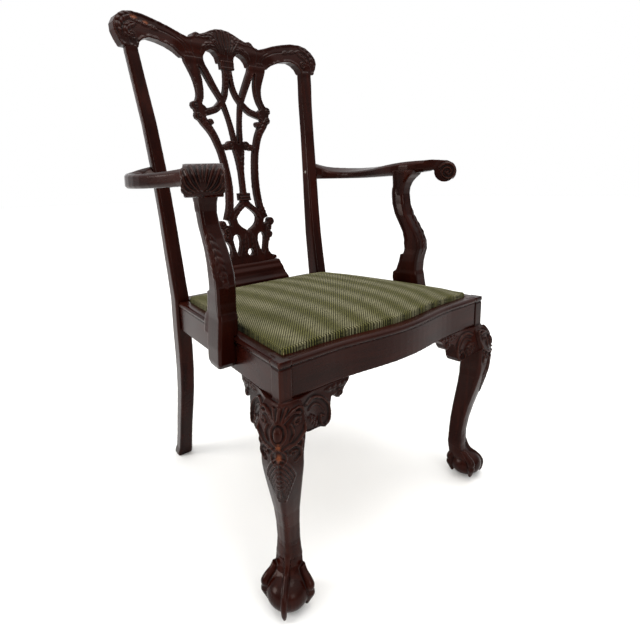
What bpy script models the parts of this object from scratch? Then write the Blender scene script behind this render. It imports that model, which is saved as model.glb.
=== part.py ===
"""Carved mahogany armchair with a pierced splat, scrolled arms and a drop-in seat.

Layout: x = 0 is the symmetry plane and +x is the chair's right-hand piece in each pair,
y = 0 is the line through the front corners of the seat rails, z = 0 is the floor. The chair
faces -y. Every piece hangs on one empty, which puts the origin under the middle of the chair.
"""

import math

import bmesh
import bpy
from mathutils import Matrix, Vector
from mathutils.geometry import delaunay_2d_cdt

# Driving dimensions, metres.
GAP = 0.0003  # clearance between two pieces that touch
WELD = 0.000002  # vertices closer than this are one after a Boolean
PANEL_WELD = 0.0003  # the same for the outlines of the splat, the crest and the webbing
LAYOUT_CENTRE_Y = 0.2776  # middle of the whole chair, front to back, in the layout

RAIL_TOP = 0.420
RAIL_BOTTOM = 0.358
RAIL_THICKNESS = 0.034
RAIL_LIP = 0.0015  # how far the moulded top edge stands proud of the rail's face
LEDGE_Z = 0.404  # the rebate that the drop-in seat rests on
REBATE_FROM_FACE = 0.022
FRONT_HALF_WIDTH = 0.282
REAR_HALF_WIDTH = 0.219
POST_FRONT_Y = 0.427  # front face of the rear posts at the seat
SERPENTINE_BOW = 0.015
SERPENTINE_HALF = 0.175

STUMP_FACE = 0.024  # width of the leg's square top that shows beside the corner
STUMP_DEPTH = 0.040
LAP = 0.009  # thickness of the rail's tongue that laps over the leg
TENON_THICKNESS = 0.010
TENON_TIP = 0.031  # distance of a front tenon's tip from the corner
TENON_LOW = 0.368
TENON_HIGH = 0.398

SPLAT_THICKNESS = 0.014
CREST_TENONS = (-0.100, 0.0, 0.100)
SPLAT_SLICES = (0.53, 0.61, 0.69, 0.77, 0.83, 0.89)  # heights where the splat's slope changes
CREST_SLICES = (-0.23, -0.18, -0.13, -0.07, 0.0, 0.07, 0.13, 0.18, 0.23)
FLAT_ANGLE = 0.001  # radians; neighbours flatter than this become one face
CREST_THICKNESS = 0.027
CREST_JOINT_Z = 0.955
SHOE_TOP = 0.478
SPLAT_FOOT_Z = 0.458

ARM_SCROLL_CENTRE = (0.3125, 0.130)
ARM_SCROLL_WIDTH = 0.060
ARM_SCROLL_Z = 0.6885
ARM_SCROLL_RADIUS = 0.0235

SEAT_FRAME_TOP = 0.4223
SEAT_CLEARANCE = 0.0015
WEBBING_THICKNESS = 0.0012
SEAT_CROWN = 0.452
SEAT_EDGE_Z = 0.428
COVER_THICKNESS = 0.0015

# Heights down a rear post with its front face, outer side, width and depth.
POST_SECTIONS = (
    (0.000, 0.5280, 0.1960, 0.0380, 0.0380),
    (0.008, 0.5250, 0.1955, 0.0375, 0.0380),
    (0.022, 0.5200, 0.1945, 0.0345, 0.0350),
    (0.060, 0.5065, 0.1975, 0.0330, 0.0350),
    (0.100, 0.4925, 0.2015, 0.0330, 0.0360),
    (0.150, 0.4745, 0.2060, 0.0335, 0.0375),
    (0.200, 0.4580, 0.2105, 0.0340, 0.0390),
    (0.250, 0.4440, 0.2155, 0.0340, 0.0405),
    (0.300, 0.4335, 0.2205, 0.0340, 0.0420),
    (0.345, 0.4275, 0.2245, 0.0340, 0.0415),
    (0.385, 0.4270, 0.2250, 0.0340, 0.0415),
    (0.425, 0.4275, 0.2250, 0.0335, 0.0405),
    (0.470, 0.4360, 0.2255, 0.0330, 0.0375),
    (0.530, 0.4465, 0.2270, 0.0330, 0.0350),
    (0.600, 0.4563, 0.2292, 0.0325, 0.0320),
    (0.700, 0.4701, 0.2341, 0.0315, 0.0290),
    (0.800, 0.4863, 0.2409, 0.0305, 0.0272),
    (0.880, 0.5033, 0.2480, 0.0295, 0.0258),
    (0.955, 0.5225, 0.2560, 0.0290, 0.0250),
)

# Front face of the splat at a few heights.
SPLAT_FACE = (
    (0.450, 0.4526),
    (0.500, 0.4602),
    (0.600, 0.4731),
    (0.700, 0.4863),
    (0.800, 0.5025),
    (0.900, 0.5243),
    (0.970, 0.5445),
    (1.040, 0.5670),
)

# Front face of the crest rail on the symmetry plane at a few heights.
CREST_FACE = (
    (0.940, 0.5230),
    (0.980, 0.5345),
    (1.040, 0.5520),
)
CREST_HOLLOW = 0.018  # how far the ears come forward of the middle, at x = 0.27

# Height, then on the leg's diagonal: front arris, back arris, and half the width across it.
LEG_SECTIONS = (
    (0.3577, 0.002, -0.053, 0.0290),
    (0.350, 0.012, -0.053, 0.0330),
    (0.340, 0.020, -0.053, 0.0370),
    (0.325, 0.026, -0.052, 0.0390),
    (0.305, 0.029, -0.049, 0.0390),
    (0.288, 0.028, -0.046, 0.0370),
    (0.268, 0.024, -0.043, 0.0340),
    (0.245, 0.018, -0.043, 0.0310),
    (0.220, 0.010, -0.046, 0.0275),
    (0.195, 0.001, -0.050, 0.0240),
    (0.170, -0.008, -0.054, 0.0205),
    (0.140, -0.017, -0.058, 0.0185),
    (0.110, -0.0225, -0.0605, 0.0180),
    (0.085, -0.0235, -0.0610, 0.0195),
    (0.066, -0.0180, -0.0595, 0.0230),
    (0.048, -0.0100, -0.0500, 0.0220),
)
FOOT_ON_DIAGONAL = -0.020
BALL_RADIUS = 0.036
BALL_CENTRE_Z = 0.027
BALL_HALF_HEIGHT = 0.031

# Arm: plan position, underside height, width, thickness at its inner and at its outer edge.
ARM_SECTIONS = (
    (0.2270, 0.4840, 0.6760, 0.028, 0.0440, 0.0460),
    (0.2520, 0.4810, 0.6760, 0.030, 0.0340, 0.0400),
    (0.2720, 0.4680, 0.6760, 0.036, 0.0220, 0.0330),
    (0.2890, 0.4400, 0.6760, 0.040, 0.0180, 0.0295),
    (0.2975, 0.4000, 0.6760, 0.041, 0.0170, 0.0275),
    (0.2975, 0.3550, 0.6765, 0.040, 0.0185, 0.0270),
    (0.2890, 0.3050, 0.6780, 0.039, 0.0215, 0.0275),
    (0.2780, 0.2550, 0.6800, 0.040, 0.0265, 0.0295),
    (0.2735, 0.2100, 0.6815, 0.045, 0.0300, 0.0310),
    (0.2830, 0.1750, 0.6860, 0.053, 0.0280, 0.0280),
    (0.2990, 0.1480, 0.6905, 0.058, 0.0245, 0.0245),
)
ARM_FORWARD = (0.529, -0.849)  # plan direction of the scroll
LEFT_ARM_DROP = 0.010  # the left arm sits this much lower than the right one
DROP_RANGE = (0.460, 0.660)  # heights between which the left support is shortened
SUPPORT_TOP = 0.6810

# Arm support: height, front edge, rear edge, middle across, thickness.
SUPPORT_SECTIONS = (
    (0.3670, 0.1520, 0.1900, 0.2700, 0.0340),
    (0.3760, 0.1450, 0.1960, 0.2700, 0.0390),
    (0.4020, 0.1450, 0.1990, 0.2690, 0.0390),
    (0.4360, 0.1490, 0.2030, 0.2640, 0.0390),
    (0.4500, 0.1500, 0.2015, 0.2625, 0.0385),
    (0.4600, 0.1525, 0.1980, 0.2630, 0.0375),
    (0.4800, 0.1518, 0.1915, 0.2643, 0.0383),
    (0.4960, 0.1490, 0.1893, 0.2656, 0.0383),
    (0.5100, 0.1460, 0.1840, 0.2678, 0.0384),
    (0.5300, 0.1484, 0.1801, 0.2687, 0.0392),
    (0.5500, 0.1569, 0.1849, 0.2675, 0.0385),
    (0.5700, 0.1692, 0.1947, 0.2650, 0.0375),
    (0.5900, 0.1820, 0.2060, 0.2635, 0.0360),
    (0.6150, 0.1909, 0.2159, 0.2645, 0.0340),
    (0.6400, 0.1953, 0.2194, 0.2658, 0.0330),
    (0.6600, 0.1935, 0.2190, 0.2676, 0.0330),
    (0.6615, 0.1880, 0.2220, 0.2690, 0.0520),
    (SUPPORT_TOP, 0.1860, 0.2240, 0.2700, 0.0530),
)

# Straps of the splat: points (x, z, width) on the middle line of each strap, right-hand side.
OUTER_STRAP = (
    (0.104, 0.968, 0.034),
    (0.094, 0.938, 0.027),
    (0.086, 0.915, 0.023),
    (0.083, 0.893, 0.019),
    (0.085, 0.870, 0.016),
    (0.094, 0.853, 0.016),
)
CROSS_STRAP = (
    (0.086, 0.968, 0.020),
    (0.074, 0.950, 0.018),
    (0.062, 0.930, 0.017),
    (0.046, 0.900, 0.0155),
    (0.035, 0.880, 0.014),
    (0.026, 0.860, 0.012),
    (0.020, 0.840, 0.0105),
    (0.0155, 0.820, 0.010),
    (0.012, 0.800, 0.0105),
    (0.008, 0.770, 0.012),
    (0.004, 0.745, 0.013),
)
CENTRE_STRAP = (
    (0.0055, 0.960, 0.014),
    (0.0055, 0.940, 0.012),
    (0.0065, 0.920, 0.012),
    (0.0095, 0.900, 0.012),
    (0.015, 0.882, 0.013),
    (0.024, 0.867, 0.014),
    (0.037, 0.853, 0.015),
    (0.052, 0.842, 0.016),
    (0.082, 0.834, 0.018),
)
WAIST_STRAP = (
    (0.092, 0.826, 0.022),
    (0.084, 0.812, 0.020),
    (0.0725, 0.797, 0.018),
    (0.0625, 0.780, 0.0165),
    (0.0550, 0.760, 0.016),
    (0.0485, 0.740, 0.016),
    (0.0420, 0.700, 0.016),
    (0.0395, 0.660, 0.017),
    (0.0430, 0.620, 0.017),
    (0.0480, 0.600, 0.018),
    (0.0540, 0.582, 0.020),
)
LOZENGE_STRAP = (
    (0.000, 0.624, 0.018),
    (0.018, 0.610, 0.014),
    (0.034, 0.596, 0.016),
    (0.040, 0.582, 0.022),
    (0.032, 0.566, 0.018),
    (0.016, 0.553, 0.018),
    (0.000, 0.543, 0.022),
)
STEM = (
    (0.000, 0.752, 0.030),
    (0.000, 0.735, 0.023),
    (0.000, 0.715, 0.017),
    (0.000, 0.690, 0.013),
    (0.000, 0.660, 0.0125),
    (0.000, 0.645, 0.014),
    (0.000, 0.620, 0.018),
)
# Scrolls and leaves of the splat as discs: (x, z, radius).
SPLAT_DISCS = (
    (0.102, 0.849, 0.0105),
    (0.097, 0.8255, 0.0105),
    (0.089, 0.838, 0.0165),
    (0.0675, 0.8135, 0.0075),
    (0.022, 0.760, 0.0115),
    (0.035, 0.756, 0.0085),
    (0.071, 0.573, 0.0105),
    (0.060, 0.560, 0.0120),
    (0.063, 0.541, 0.0095),
)
SPLAT_COLLARS = ((0.628, 0.0165), (0.940, 0.0185))  # lower edge and half width
SPLAT_BASE = (
    (0.000, 0.556),
    (0.030, 0.568),
    (0.060, 0.570),
    (0.066, 0.552),
    (0.062, 0.530),
    (0.056, 0.521),
    (0.054, 0.510),
    (0.056, 0.499),
    (0.062, 0.491),
    (0.077, 0.486),
    (0.077, 0.4785),
    (0.066, 0.4785),
    (0.066, SPLAT_FOOT_Z),
    (0.000, SPLAT_FOOT_Z),
)
TEARDROP = (
    (0.036, 0.549),
    (0.044, 0.545),
    (0.047, 0.536),
    (0.045, 0.524),
    (0.041, 0.508),
    (0.037, 0.494),
    (0.032, 0.503),
    (0.027, 0.516),
    (0.0245, 0.530),
    (0.027, 0.543),
)
LOZENGE_WINDOW = (
    (0.000, 0.607),
    (0.012, 0.600),
    (0.022, 0.592),
    (0.027, 0.584),
    (0.024, 0.575),
    (0.014, 0.564),
    (0.004, 0.556),
    (0.000, 0.550),
)

# Crest rail, right half of its outline as seen from the front.
CREST_TOP_EDGE = (
    (0.000, 1.036),
    (0.018, 1.034),
    (0.034, 1.028),
    (0.050, 1.020),
    (0.064, 1.015),
    (0.074, 1.018),
    (0.081, 1.015),
    (0.086, 1.007),
    (0.100, 1.002),
    (0.120, 1.008),
    (0.145, 1.017),
    (0.175, 1.025),
    (0.205, 1.031),
    (0.230, 1.032),
    (0.250, 1.027),
    (0.266, 1.015),
    (0.275, 1.000),
    (0.276, 0.985),
    (0.270, 0.970),
    (0.262, 0.9555),
)
CREST_BOTTOM_EDGE = (
    (0.226, 0.9555),
    (0.221, 0.968),
    (0.211, 0.977),
    (0.196, 0.982),
    (0.175, 0.980),
    (0.152, 0.974),
    (0.133, 0.965),
    (0.120, CREST_JOINT_Z),
    (0.064, CREST_JOINT_Z),
    (0.062, 0.966),
    (0.055, 0.976),
    (0.042, 0.983),
    (0.030, 0.980),
    (0.022, 0.970),
    (0.020, CREST_JOINT_Z),
    (0.000, CREST_JOINT_Z),
)

# Knee bracket outline: distance from the corner along the rail, and height.
BRACKET_OUTLINE = (
    (STUMP_DEPTH + 0.0008, RAIL_BOTTOM - GAP),
    (0.150, RAIL_BOTTOM - GAP),
    (0.147, 0.350),
    (0.138, 0.342),
    (0.132, 0.333),
    (0.126, 0.327),
    (0.119, 0.329),
    (0.114, 0.337),
    (0.105, 0.336),
    (0.101, 0.322),
    (0.097, 0.304),
    (0.089, 0.293),
    (0.079, 0.291),
    (0.070, 0.297),
    (0.060, 0.300),
    (STUMP_DEPTH + 0.0008, 0.286),
)
BRACKET_THICKNESS = 0.024
SIDE_BRACKET_SCALE = 0.86

MATERIALS = {
    "mahogany": ((0.060, 0.020, 0.012, 1.0), 0.32, 0.0),
    "beech": ((0.420, 0.270, 0.150, 1.0), 0.65, 0.0),
    "webbing": ((0.350, 0.280, 0.180, 1.0), 0.90, 0.0),
    "stuffing": ((0.700, 0.640, 0.520, 1.0), 0.95, 0.0),
    "seat_fabric": ((0.270, 0.265, 0.130, 1.0), 0.90, 0.0),
    "steel": ((0.350, 0.340, 0.330, 1.0), 0.40, 1.0),
}

X_AXIS = Vector((1.0, 0.0, 0.0))
Z_AXIS = Vector((0.0, 0.0, 1.0))


# --- Curves and tables ---------------------------------------------------------------------

def smooth_line(points, steps):
    """Catmull-Rom curve through points of any dimension, steps per span."""
    ends = [points[0], *points, points[-1]]
    line = []
    for index in range(len(points) - 1):
        before, here, there, after = ends[index:index + 4]
        for step in range(steps):
            t = step / steps
            line.append(tuple(
                0.5 * (2 * b + (c - a) * t + (2 * a - 5 * b + 4 * c - d) * t * t
                       + (3 * b - a - 3 * c + d) * t ** 3)
                for a, b, c, d in zip(before, here, there, after)))
    line.append(tuple(points[-1]))
    return line


def read_table(table, key):
    """Straight-line reading of a table whose rows start with a rising key."""
    rows = sorted(table)
    if key <= rows[0][0]:
        rows = rows[:2]
    for low, high in zip(rows, rows[1:]):
        if key <= high[0]:
            break
    t = (key - low[0]) / (high[0] - low[0])
    return [a + (b - a) * t for a, b in zip(low[1:], high[1:])]


def splat_face_y(z):
    return read_table(smooth_line(SPLAT_FACE, 8), z)[0]


def crest_face_y(x, z):
    return read_table(CREST_FACE, z)[0] - CREST_HOLLOW * (x / 0.27) ** 2


def serpentine_y(x):
    """Front face of the front rail: bowed in the middle, straight towards the legs."""
    if abs(x) >= SERPENTINE_HALF:
        return 0.0
    return -SERPENTINE_BOW * 0.5 * (1 + math.cos(math.pi * x / SERPENTINE_HALF))


# --- Frames of reference -------------------------------------------------------------------

RAIL_RUN = Vector((REAR_HALF_WIDTH - FRONT_HALF_WIDTH, POST_FRONT_Y, 0.0))
RAIL_LENGTH = RAIL_RUN.length
RAIL_ALONG = RAIL_RUN.normalized()
RAIL_OUTWARD = Vector((RAIL_ALONG.y, -RAIL_ALONG.x, 0.0))
LEG_DIAGONAL = -(RAIL_ALONG - X_AXIS).normalized()
LEG_ACROSS = Vector((-LEG_DIAGONAL.y, LEG_DIAGONAL.x, 0.0))
CORNER = Vector((FRONT_HALF_WIDTH, 0.0, 0.0))


def mirrored(point, side):
    return Vector((point[0] * side, point[1], point[2]))


def side_rail_place(side):
    """Maps (distance along the side rail, distance in from its face, height)."""
    def place(along, inward, z):
        return mirrored(CORNER + RAIL_ALONG * along - RAIL_OUTWARD * inward + Z_AXIS * z, side)
    return place


def front_rail_place(side):
    """Maps (distance along the front rail from its corner, distance in, height)."""
    def place(along, inward, z):
        return mirrored((FRONT_HALF_WIDTH - along, inward, z), side)
    return place


def leg_place(side):
    """Maps (distance out on the leg's diagonal, distance across it, height)."""
    def place(out, across, z):
        return mirrored(CORNER + LEG_DIAGONAL * out + LEG_ACROSS * across + Z_AXIS * z, side)
    return place


def plain_place(x, y, z):
    return Vector((x, y, z))


# --- Solids --------------------------------------------------------------------------------

def object_from_bmesh(name, mesh_data):
    bmesh.ops.recalc_face_normals(mesh_data, faces=mesh_data.faces)
    mesh_data.normal_update()
    bmesh.ops.triangulate(mesh_data, faces=mesh_data.faces, ngon_method="EAR_CLIP")
    mesh = bpy.data.meshes.new(name)
    mesh_data.to_mesh(mesh)
    mesh_data.free()
    piece = bpy.data.objects.new(name, mesh)
    bpy.context.scene.collection.objects.link(piece)
    return piece


def loft(name, rings):
    """Closed solid through rings of the same number of points, capped at both ends."""
    data = bmesh.new()
    rows = [[data.verts.new(point) for point in ring] for ring in rings]
    for low, high in zip(rows, rows[1:]):
        for index in range(len(low)):
            after = (index + 1) % len(low)
            data.faces.new((low[index], low[after], high[after], high[index]))
    data.faces.new(rows[0])
    data.faces.new(rows[-1][::-1])
    return object_from_bmesh(name, data)


def prism(name, outline, low, high, place):
    """Outline (a, b) swept from low to high in the third direction; place(a, c, b)."""
    return loft(name, [[place(a, low, b) for a, b in outline],
                       [place(a, high, b) for a, b in outline]])


def box(name, lows, highs, place=plain_place, grow=0.0):
    """Box between two corners of a frame of reference."""
    x0, y0, z0 = [min(a, b) - grow for a, b in zip(lows, highs)]
    x1, y1, z1 = [max(a, b) + grow for a, b in zip(lows, highs)]
    outline = ((x0, z0), (x1, z0), (x1, z1), (x0, z1))
    return prism(name, outline, y0, y1, place)


def cylinder(name, start, end, radii, sides=12):
    """Round bar from start to end; radii lists (fraction of the length, radius)."""
    axis = (end - start).normalized()
    first = axis.orthogonal().normalized()
    second = axis.cross(first)
    rings = []
    for fraction, radius in radii:
        centre = start.lerp(end, fraction)
        rings.append([centre + radius * (first * math.cos(angle) + second * math.sin(angle))
                      for angle in (2 * math.pi * k / sides for k in range(sides))])
    return loft(name, rings)


def combine(target, tool, operation):
    """Applies a Boolean to target and removes the tool, both in the chair's layout."""
    tool.parent = target.parent
    modifier = target.modifiers.new(operation, "BOOLEAN")
    modifier.operation = operation
    modifier.object = tool
    modifier.solver = "EXACT"
    bpy.context.view_layer.update()
    depsgraph = bpy.context.evaluated_depsgraph_get()
    result = bpy.data.meshes.new_from_object(target.evaluated_get(depsgraph))
    target.modifiers.clear()
    data = bmesh.new()
    data.from_mesh(result)
    bmesh.ops.remove_doubles(data, verts=data.verts, dist=WELD)
    bmesh.ops.dissolve_degenerate(data, edges=data.edges, dist=WELD)
    data.normal_update()
    bmesh.ops.triangulate(data, faces=data.faces, ngon_method="EAR_CLIP")
    data.to_mesh(result)
    data.free()
    target.data = result
    bpy.data.objects.remove(tool)
    return target


def add(target, tool):
    return combine(target, tool, "UNION")


def cut(target, tool):
    return combine(target, tool, "DIFFERENCE")


def material_named(name):
    """Principled material from the MATERIALS table, made on first use."""
    material = bpy.data.materials.get(name)
    if material:
        return material
    colour, roughness, metallic = MATERIALS[name]
    material = bpy.data.materials.new(name)
    material.use_nodes = True
    shader = material.node_tree.nodes["Principled BSDF"]
    shader.inputs["Base Color"].default_value = colour
    shader.inputs["Roughness"].default_value = roughness
    shader.inputs["Metallic"].default_value = metallic
    return material


def finish(piece, material, origin, smooth=False):
    """Moves the piece's origin to a natural point of it and hangs it on the chair's empty."""
    origin = Vector(origin)
    piece.data.name = piece.name
    piece.data.transform(Matrix.Translation(-origin))
    piece.location = origin
    piece.parent = bpy.data.objects["chair_origin"]
    piece.data.materials.clear()
    piece.data.materials.append(material_named(material))
    if smooth:
        piece.data.shade_smooth()
        piece.data.set_sharp_from_angle(angle=math.radians(40))
    return piece


def side_name(stem, side):
    return f"{stem}_{'right' if side > 0 else 'left'}"


# --- Joinery -------------------------------------------------------------------------------

def rail_tenon(place, low_along, high_along, grow=0.0):
    """Tenon at a rail's end, in the rail's own frame; grown, it is the mortise's cutter."""
    middle = RAIL_THICKNESS / 2 + LAP / 2
    return box("tenon",
               (low_along, middle - TENON_THICKNESS / 2, TENON_LOW),
               (high_along, middle + TENON_THICKNESS / 2, TENON_HIGH), place, grow)


def post_tenon(side, grow=0.0):
    """Tenon on top of a rear post, in the crest rail."""
    front, outer, width, depth = read_table(POST_SECTIONS, CREST_JOINT_Z)
    return box("tenon",
               (side * (outer - width / 2) - 0.008, front + 0.003, CREST_JOINT_Z - 0.004),
               (side * (outer - width / 2) + 0.008, front + 0.012, CREST_JOINT_Z + 0.024),
               plain_place, grow)


def splat_tenon(x, grow=0.0):
    """Stub tenon on top of one strap of the splat, in the crest rail."""
    y = splat_face_y(CREST_JOINT_Z)
    return box("tenon", (x - 0.006, y + 0.004, CREST_JOINT_Z - 0.006),
               (x + 0.006, y + 0.010, CREST_JOINT_Z + 0.008), plain_place, grow)


def arm_screw_line(side):
    """Screw from the inner side of the rear post into the arm: head end and tip."""
    return mirrored((0.2035, 0.485, 0.695), side), mirrored((0.2560, 0.481, 0.695), side)


def support_screw_line(side, index):
    """Screw from inside the seat rail into the arm support: head end and tip."""
    place = side_rail_place(side)
    along = (0.160, 0.186)[index]
    z = (0.372, 0.396)[index]
    return place(along, RAIL_THICKNESS - 0.0005, z), place(along, -0.018, z)


def block_screw_line(corner, side, index):
    """Screw through a corner block into the rail beside it: head end and tip."""
    z = 0.383
    if corner == "front":
        place = (front_rail_place(side), side_rail_place(side))[index]
        return place(0.082, 0.0655, z), place(0.088, 0.018, z)
    if index == 0:
        return mirrored((0.1728, 0.3630, z), side), mirrored((0.2144, 0.3691, z), side)
    return mirrored((0.1438, 0.3890, z), side), mirrored((0.1438, 0.4360, z), side)


def screw(name, line, grow=0.0):
    """Countersunk wood screw; grown, it is the cutter for its hole."""
    head, tip = line
    length = (tip - head).length
    radii = ((0.0 - grow / length, 0.0038 + grow), (0.0035 / length, 0.0018 + grow),
             (1.0 - 0.004 / length, 0.0018 + grow), (1.0 + grow / length, 0.0006 + grow))
    return cylinder(name, head, tip, radii, sides=8)


def bore(piece, line):
    """Hole for a screw, open at the head end."""
    head, tip = line
    open_end = head + (head - tip).normalized() * 0.012
    length = (tip - open_end).length
    radii = ((0.0, 0.0038 + GAP), (0.012 / length, 0.0038 + GAP),
             (0.0155 / length, 0.0018 + GAP), (1.0 + GAP / length, 0.0018 + GAP))
    return cut(piece, cylinder("hole", open_end, tip, radii, sides=8))


# --- Frame of the chair --------------------------------------------------------------------

def post_rings(side, grow=0.0):
    """Rings of a back leg and stile: a soft-cornered section up a double curve."""
    rings = []
    for z, front, outer, width, depth in POST_SECTIONS:
        if abs(z - RAIL_TOP) < RAIL_TOP - RAIL_BOTTOM:
            front = max(front, POST_FRONT_Y)
        chamfer = 0.12 * width
        rounding = 0.16 * width
        inner = outer - width - grow
        rear = front + depth + grow
        front -= grow
        outer += grow
        outer_rear = outer + (depth - rounding) * RAIL_ALONG.x
        section = ((outer - chamfer, front), (outer, front + chamfer),
                   (outer_rear, rear - rounding), (outer_rear - rounding, rear),
                   (inner + chamfer, rear), (inner, rear - chamfer),
                   (inner, front + chamfer), (inner + chamfer, front))
        rings.append([mirrored((x, y, z), side) for x, y in section])
    return rings


def rear_post():
    post = add(loft("rear_post_right", post_rings(1)), post_tenon(1))
    place = side_rail_place(1)
    cut(post, rail_tenon(place, RAIL_LENGTH - 0.004, RAIL_LENGTH + 0.013, GAP))
    cut(post, rear_rail_tenon(1, GAP))
    return finish(post, "mahogany", (0.210, POST_FRONT_Y, RAIL_TOP), smooth=True)


def rail_profile():
    """Section of a seat rail as (inward, height): moulded lip outside, rebate inside."""
    return (
        (RAIL_LIP, RAIL_BOTTOM),
        (RAIL_LIP, RAIL_TOP - 0.013),
        (0.0, RAIL_TOP - 0.011),
        (0.0, RAIL_TOP - 0.004),
        (0.0012, RAIL_TOP - 0.0012),
        (0.004, RAIL_TOP),
        (REBATE_FROM_FACE, RAIL_TOP),
        (REBATE_FROM_FACE, LEDGE_Z),
        (RAIL_THICKNESS, LEDGE_Z),
        (RAIL_THICKNESS, RAIL_BOTTOM),
    )


def stump(side, low, high):
    """A front leg's square top, stepped back where the rails' tongues lap over it."""
    front = front_rail_place(side)
    flank = side_rail_place(side)
    depth = STUMP_DEPTH
    inner_inward = depth * (1 + RAIL_ALONG.x) / RAIL_OUTWARD.x
    plan = [front(0.0, 0.0, 0.0), front(STUMP_FACE, 0.0, 0.0), front(STUMP_FACE, LAP, 0.0),
            front(depth, LAP, 0.0), flank(depth, inner_inward, 0.0), flank(depth, LAP, 0.0),
            flank(STUMP_FACE, LAP, 0.0), flank(STUMP_FACE, 0.0, 0.0)]
    return loft("stump", [[p + Z_AXIS * low for p in plan], [p + Z_AXIS * high for p in plan]])


def stump_step(place):
    """Cutter that leaves a thin tongue at a rail's end, lapping over the leg's top."""
    return box("step", (0.0, LAP - GAP, RAIL_BOTTOM - 0.01),
               (STUMP_DEPTH + GAP, RAIL_THICKNESS + 0.01, RAIL_TOP + 0.01), place)


def side_seat_rail():
    place = side_rail_place(1)
    profile = rail_profile()
    start = [place(STUMP_FACE + GAP, inward, z) for inward, z in profile]
    end = []
    for inward, z in profile:
        point = place(0.0, inward, z)
        direction = mirrored(RAIL_ALONG, 1)
        end.append(point + direction * ((POST_FRONT_Y - GAP - 0.0003 - point.y) / direction.y))
    rail = loft("side_seat_rail_right", [start, end])
    cut(rail, stump_step(place))
    add(rail, rail_tenon(place, TENON_TIP, STUMP_DEPTH + 0.006))
    add(rail, rail_tenon(place, RAIL_LENGTH - 0.014, RAIL_LENGTH + 0.012))
    for index in range(2):
        bore(rail, support_screw_line(1, index))
        block_line = block_screw_line(("front", "rear")[index], 1, 1 - index)
        bore(rail, block_line)
    return finish(rail, "mahogany", place(RAIL_LENGTH / 2, 0.0, RAIL_BOTTOM))


def front_seat_rail():
    """Serpentine rail between the front legs."""
    count = 28
    limit = FRONT_HALF_WIDTH - STUMP_FACE - GAP
    rings = []
    for index in range(count + 1):
        x = -limit + 2 * limit * index / count
        face = serpentine_y(x)
        ring = []
        for inward, z in rail_profile():
            y = RAIL_THICKNESS if inward == RAIL_THICKNESS else face + inward
            ring.append(Vector((x, y, z)))
        rings.append(ring)
    rail = loft("front_seat_rail", rings)
    for side in (-1, 1):
        cut(rail, stump_step(front_rail_place(side)))
        add(rail, rail_tenon(front_rail_place(side), TENON_TIP, STUMP_DEPTH + 0.006))
        bore(rail, block_screw_line("front", side, 0))
    return finish(rail, "mahogany", (0.0, 0.0, RAIL_BOTTOM))


REAR_RAIL_HALF = 0.1904
REAR_RAIL_BACK = 0.4680


def rear_rail_tenon(side, grow=0.0):
    return box("tenon", (side * (REAR_RAIL_HALF - 0.004), 0.4420, TENON_LOW),
               (side * (REAR_RAIL_HALF + 0.016), 0.4540, TENON_HIGH), plain_place, grow)


def rear_seat_rail():
    """Rail under the shoe, with a ledge in front for the drop-in seat."""
    ledge_front = POST_FRONT_Y - 0.012
    rail = box("rear_seat_rail", (-REAR_RAIL_HALF + GAP, POST_FRONT_Y + 0.003, RAIL_BOTTOM),
               (REAR_RAIL_HALF - GAP, REAR_RAIL_BACK, RAIL_TOP))
    add(rail, box("ledge", (-0.1835, ledge_front, RAIL_BOTTOM),
                  (0.1835, POST_FRONT_Y + 0.004, LEDGE_Z)))
    for side in (-1, 1):
        add(rail, rear_rail_tenon(side))
        bore(rail, block_screw_line("rear", side, 1))
    return finish(rail, "mahogany", (0.0, POST_FRONT_Y, RAIL_BOTTOM))


def splat_shoe():
    """Moulding on the rear rail that holds the foot of the splat."""
    profile = ((0.4215, RAIL_TOP + GAP), (0.4215, 0.427), (0.4245, 0.430), (0.4245, 0.436),
               (0.4320, 0.443), (0.4365, 0.452), (0.4375, 0.460), (0.4420, 0.466),
               (0.4440, 0.4685), (0.4440, 0.473), (0.4480, SHOE_TOP), (0.4760, SHOE_TOP),
               (0.4760, 0.440), (0.4660, 0.428), (0.4660, RAIL_TOP + GAP))
    rings = []
    for x, reach in ((-1.0, 1.0), (1.0, 1.0)):
        rings.append([Vector((x * (0.077 + 0.016 * (SHOE_TOP - z) / (SHOE_TOP - RAIL_TOP)) * reach,
                              y, z)) for y, z in profile])
    shoe = loft("splat_shoe", rings)
    low, high = SPLAT_FOOT_Z - GAP, SHOE_TOP + 0.004
    foot = splat_face_y(SPLAT_FOOT_Z)
    slope = (splat_face_y(SPLAT_SLICES[0]) - foot) / (SPLAT_SLICES[0] - SPLAT_FOOT_Z)
    front_low = foot - 2 * GAP
    front_high = foot - 2 * GAP + slope * (high - SPLAT_FOOT_Z)
    room = SPLAT_THICKNESS + 4 * GAP
    slot = [(front_low, low), (front_high, high), (front_high + room, high),
            (front_low + room, low)]
    half = 0.066 + GAP
    cut(shoe, loft("slot", [[Vector((-half, y, z)) for y, z in slot],
                            [Vector((half, y, z)) for y, z in slot]]))
    return finish(shoe, "mahogany", (0.0, POST_FRONT_Y, RAIL_TOP))


# --- Back ----------------------------------------------------------------------------------

def strap_outline(points):
    """Both edges of a strap whose middle line and width are given."""
    line = smooth_line(points, 2)
    left, right = [], []
    for index, (x, z, width) in enumerate(line):
        before = line[max(index - 1, 0)]
        after = line[min(index + 1, len(line) - 1)]
        along = Vector((after[0] - before[0], after[1] - before[1])).normalized()
        across = Vector((-along.y, along.x)) * width / 2
        left.append((x + across.x, z + across.y))
        right.append((x - across.x, z - across.y))
    return left + right[::-1]


def disc_outline(x, z, radius, sides=10):
    return [(x + radius * math.cos(2 * math.pi * k / sides),
             z + radius * math.sin(2 * math.pi * k / sides)) for k in range(sides)]


def flip(outline):
    return [(-x, z) for x, z in outline]


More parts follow.
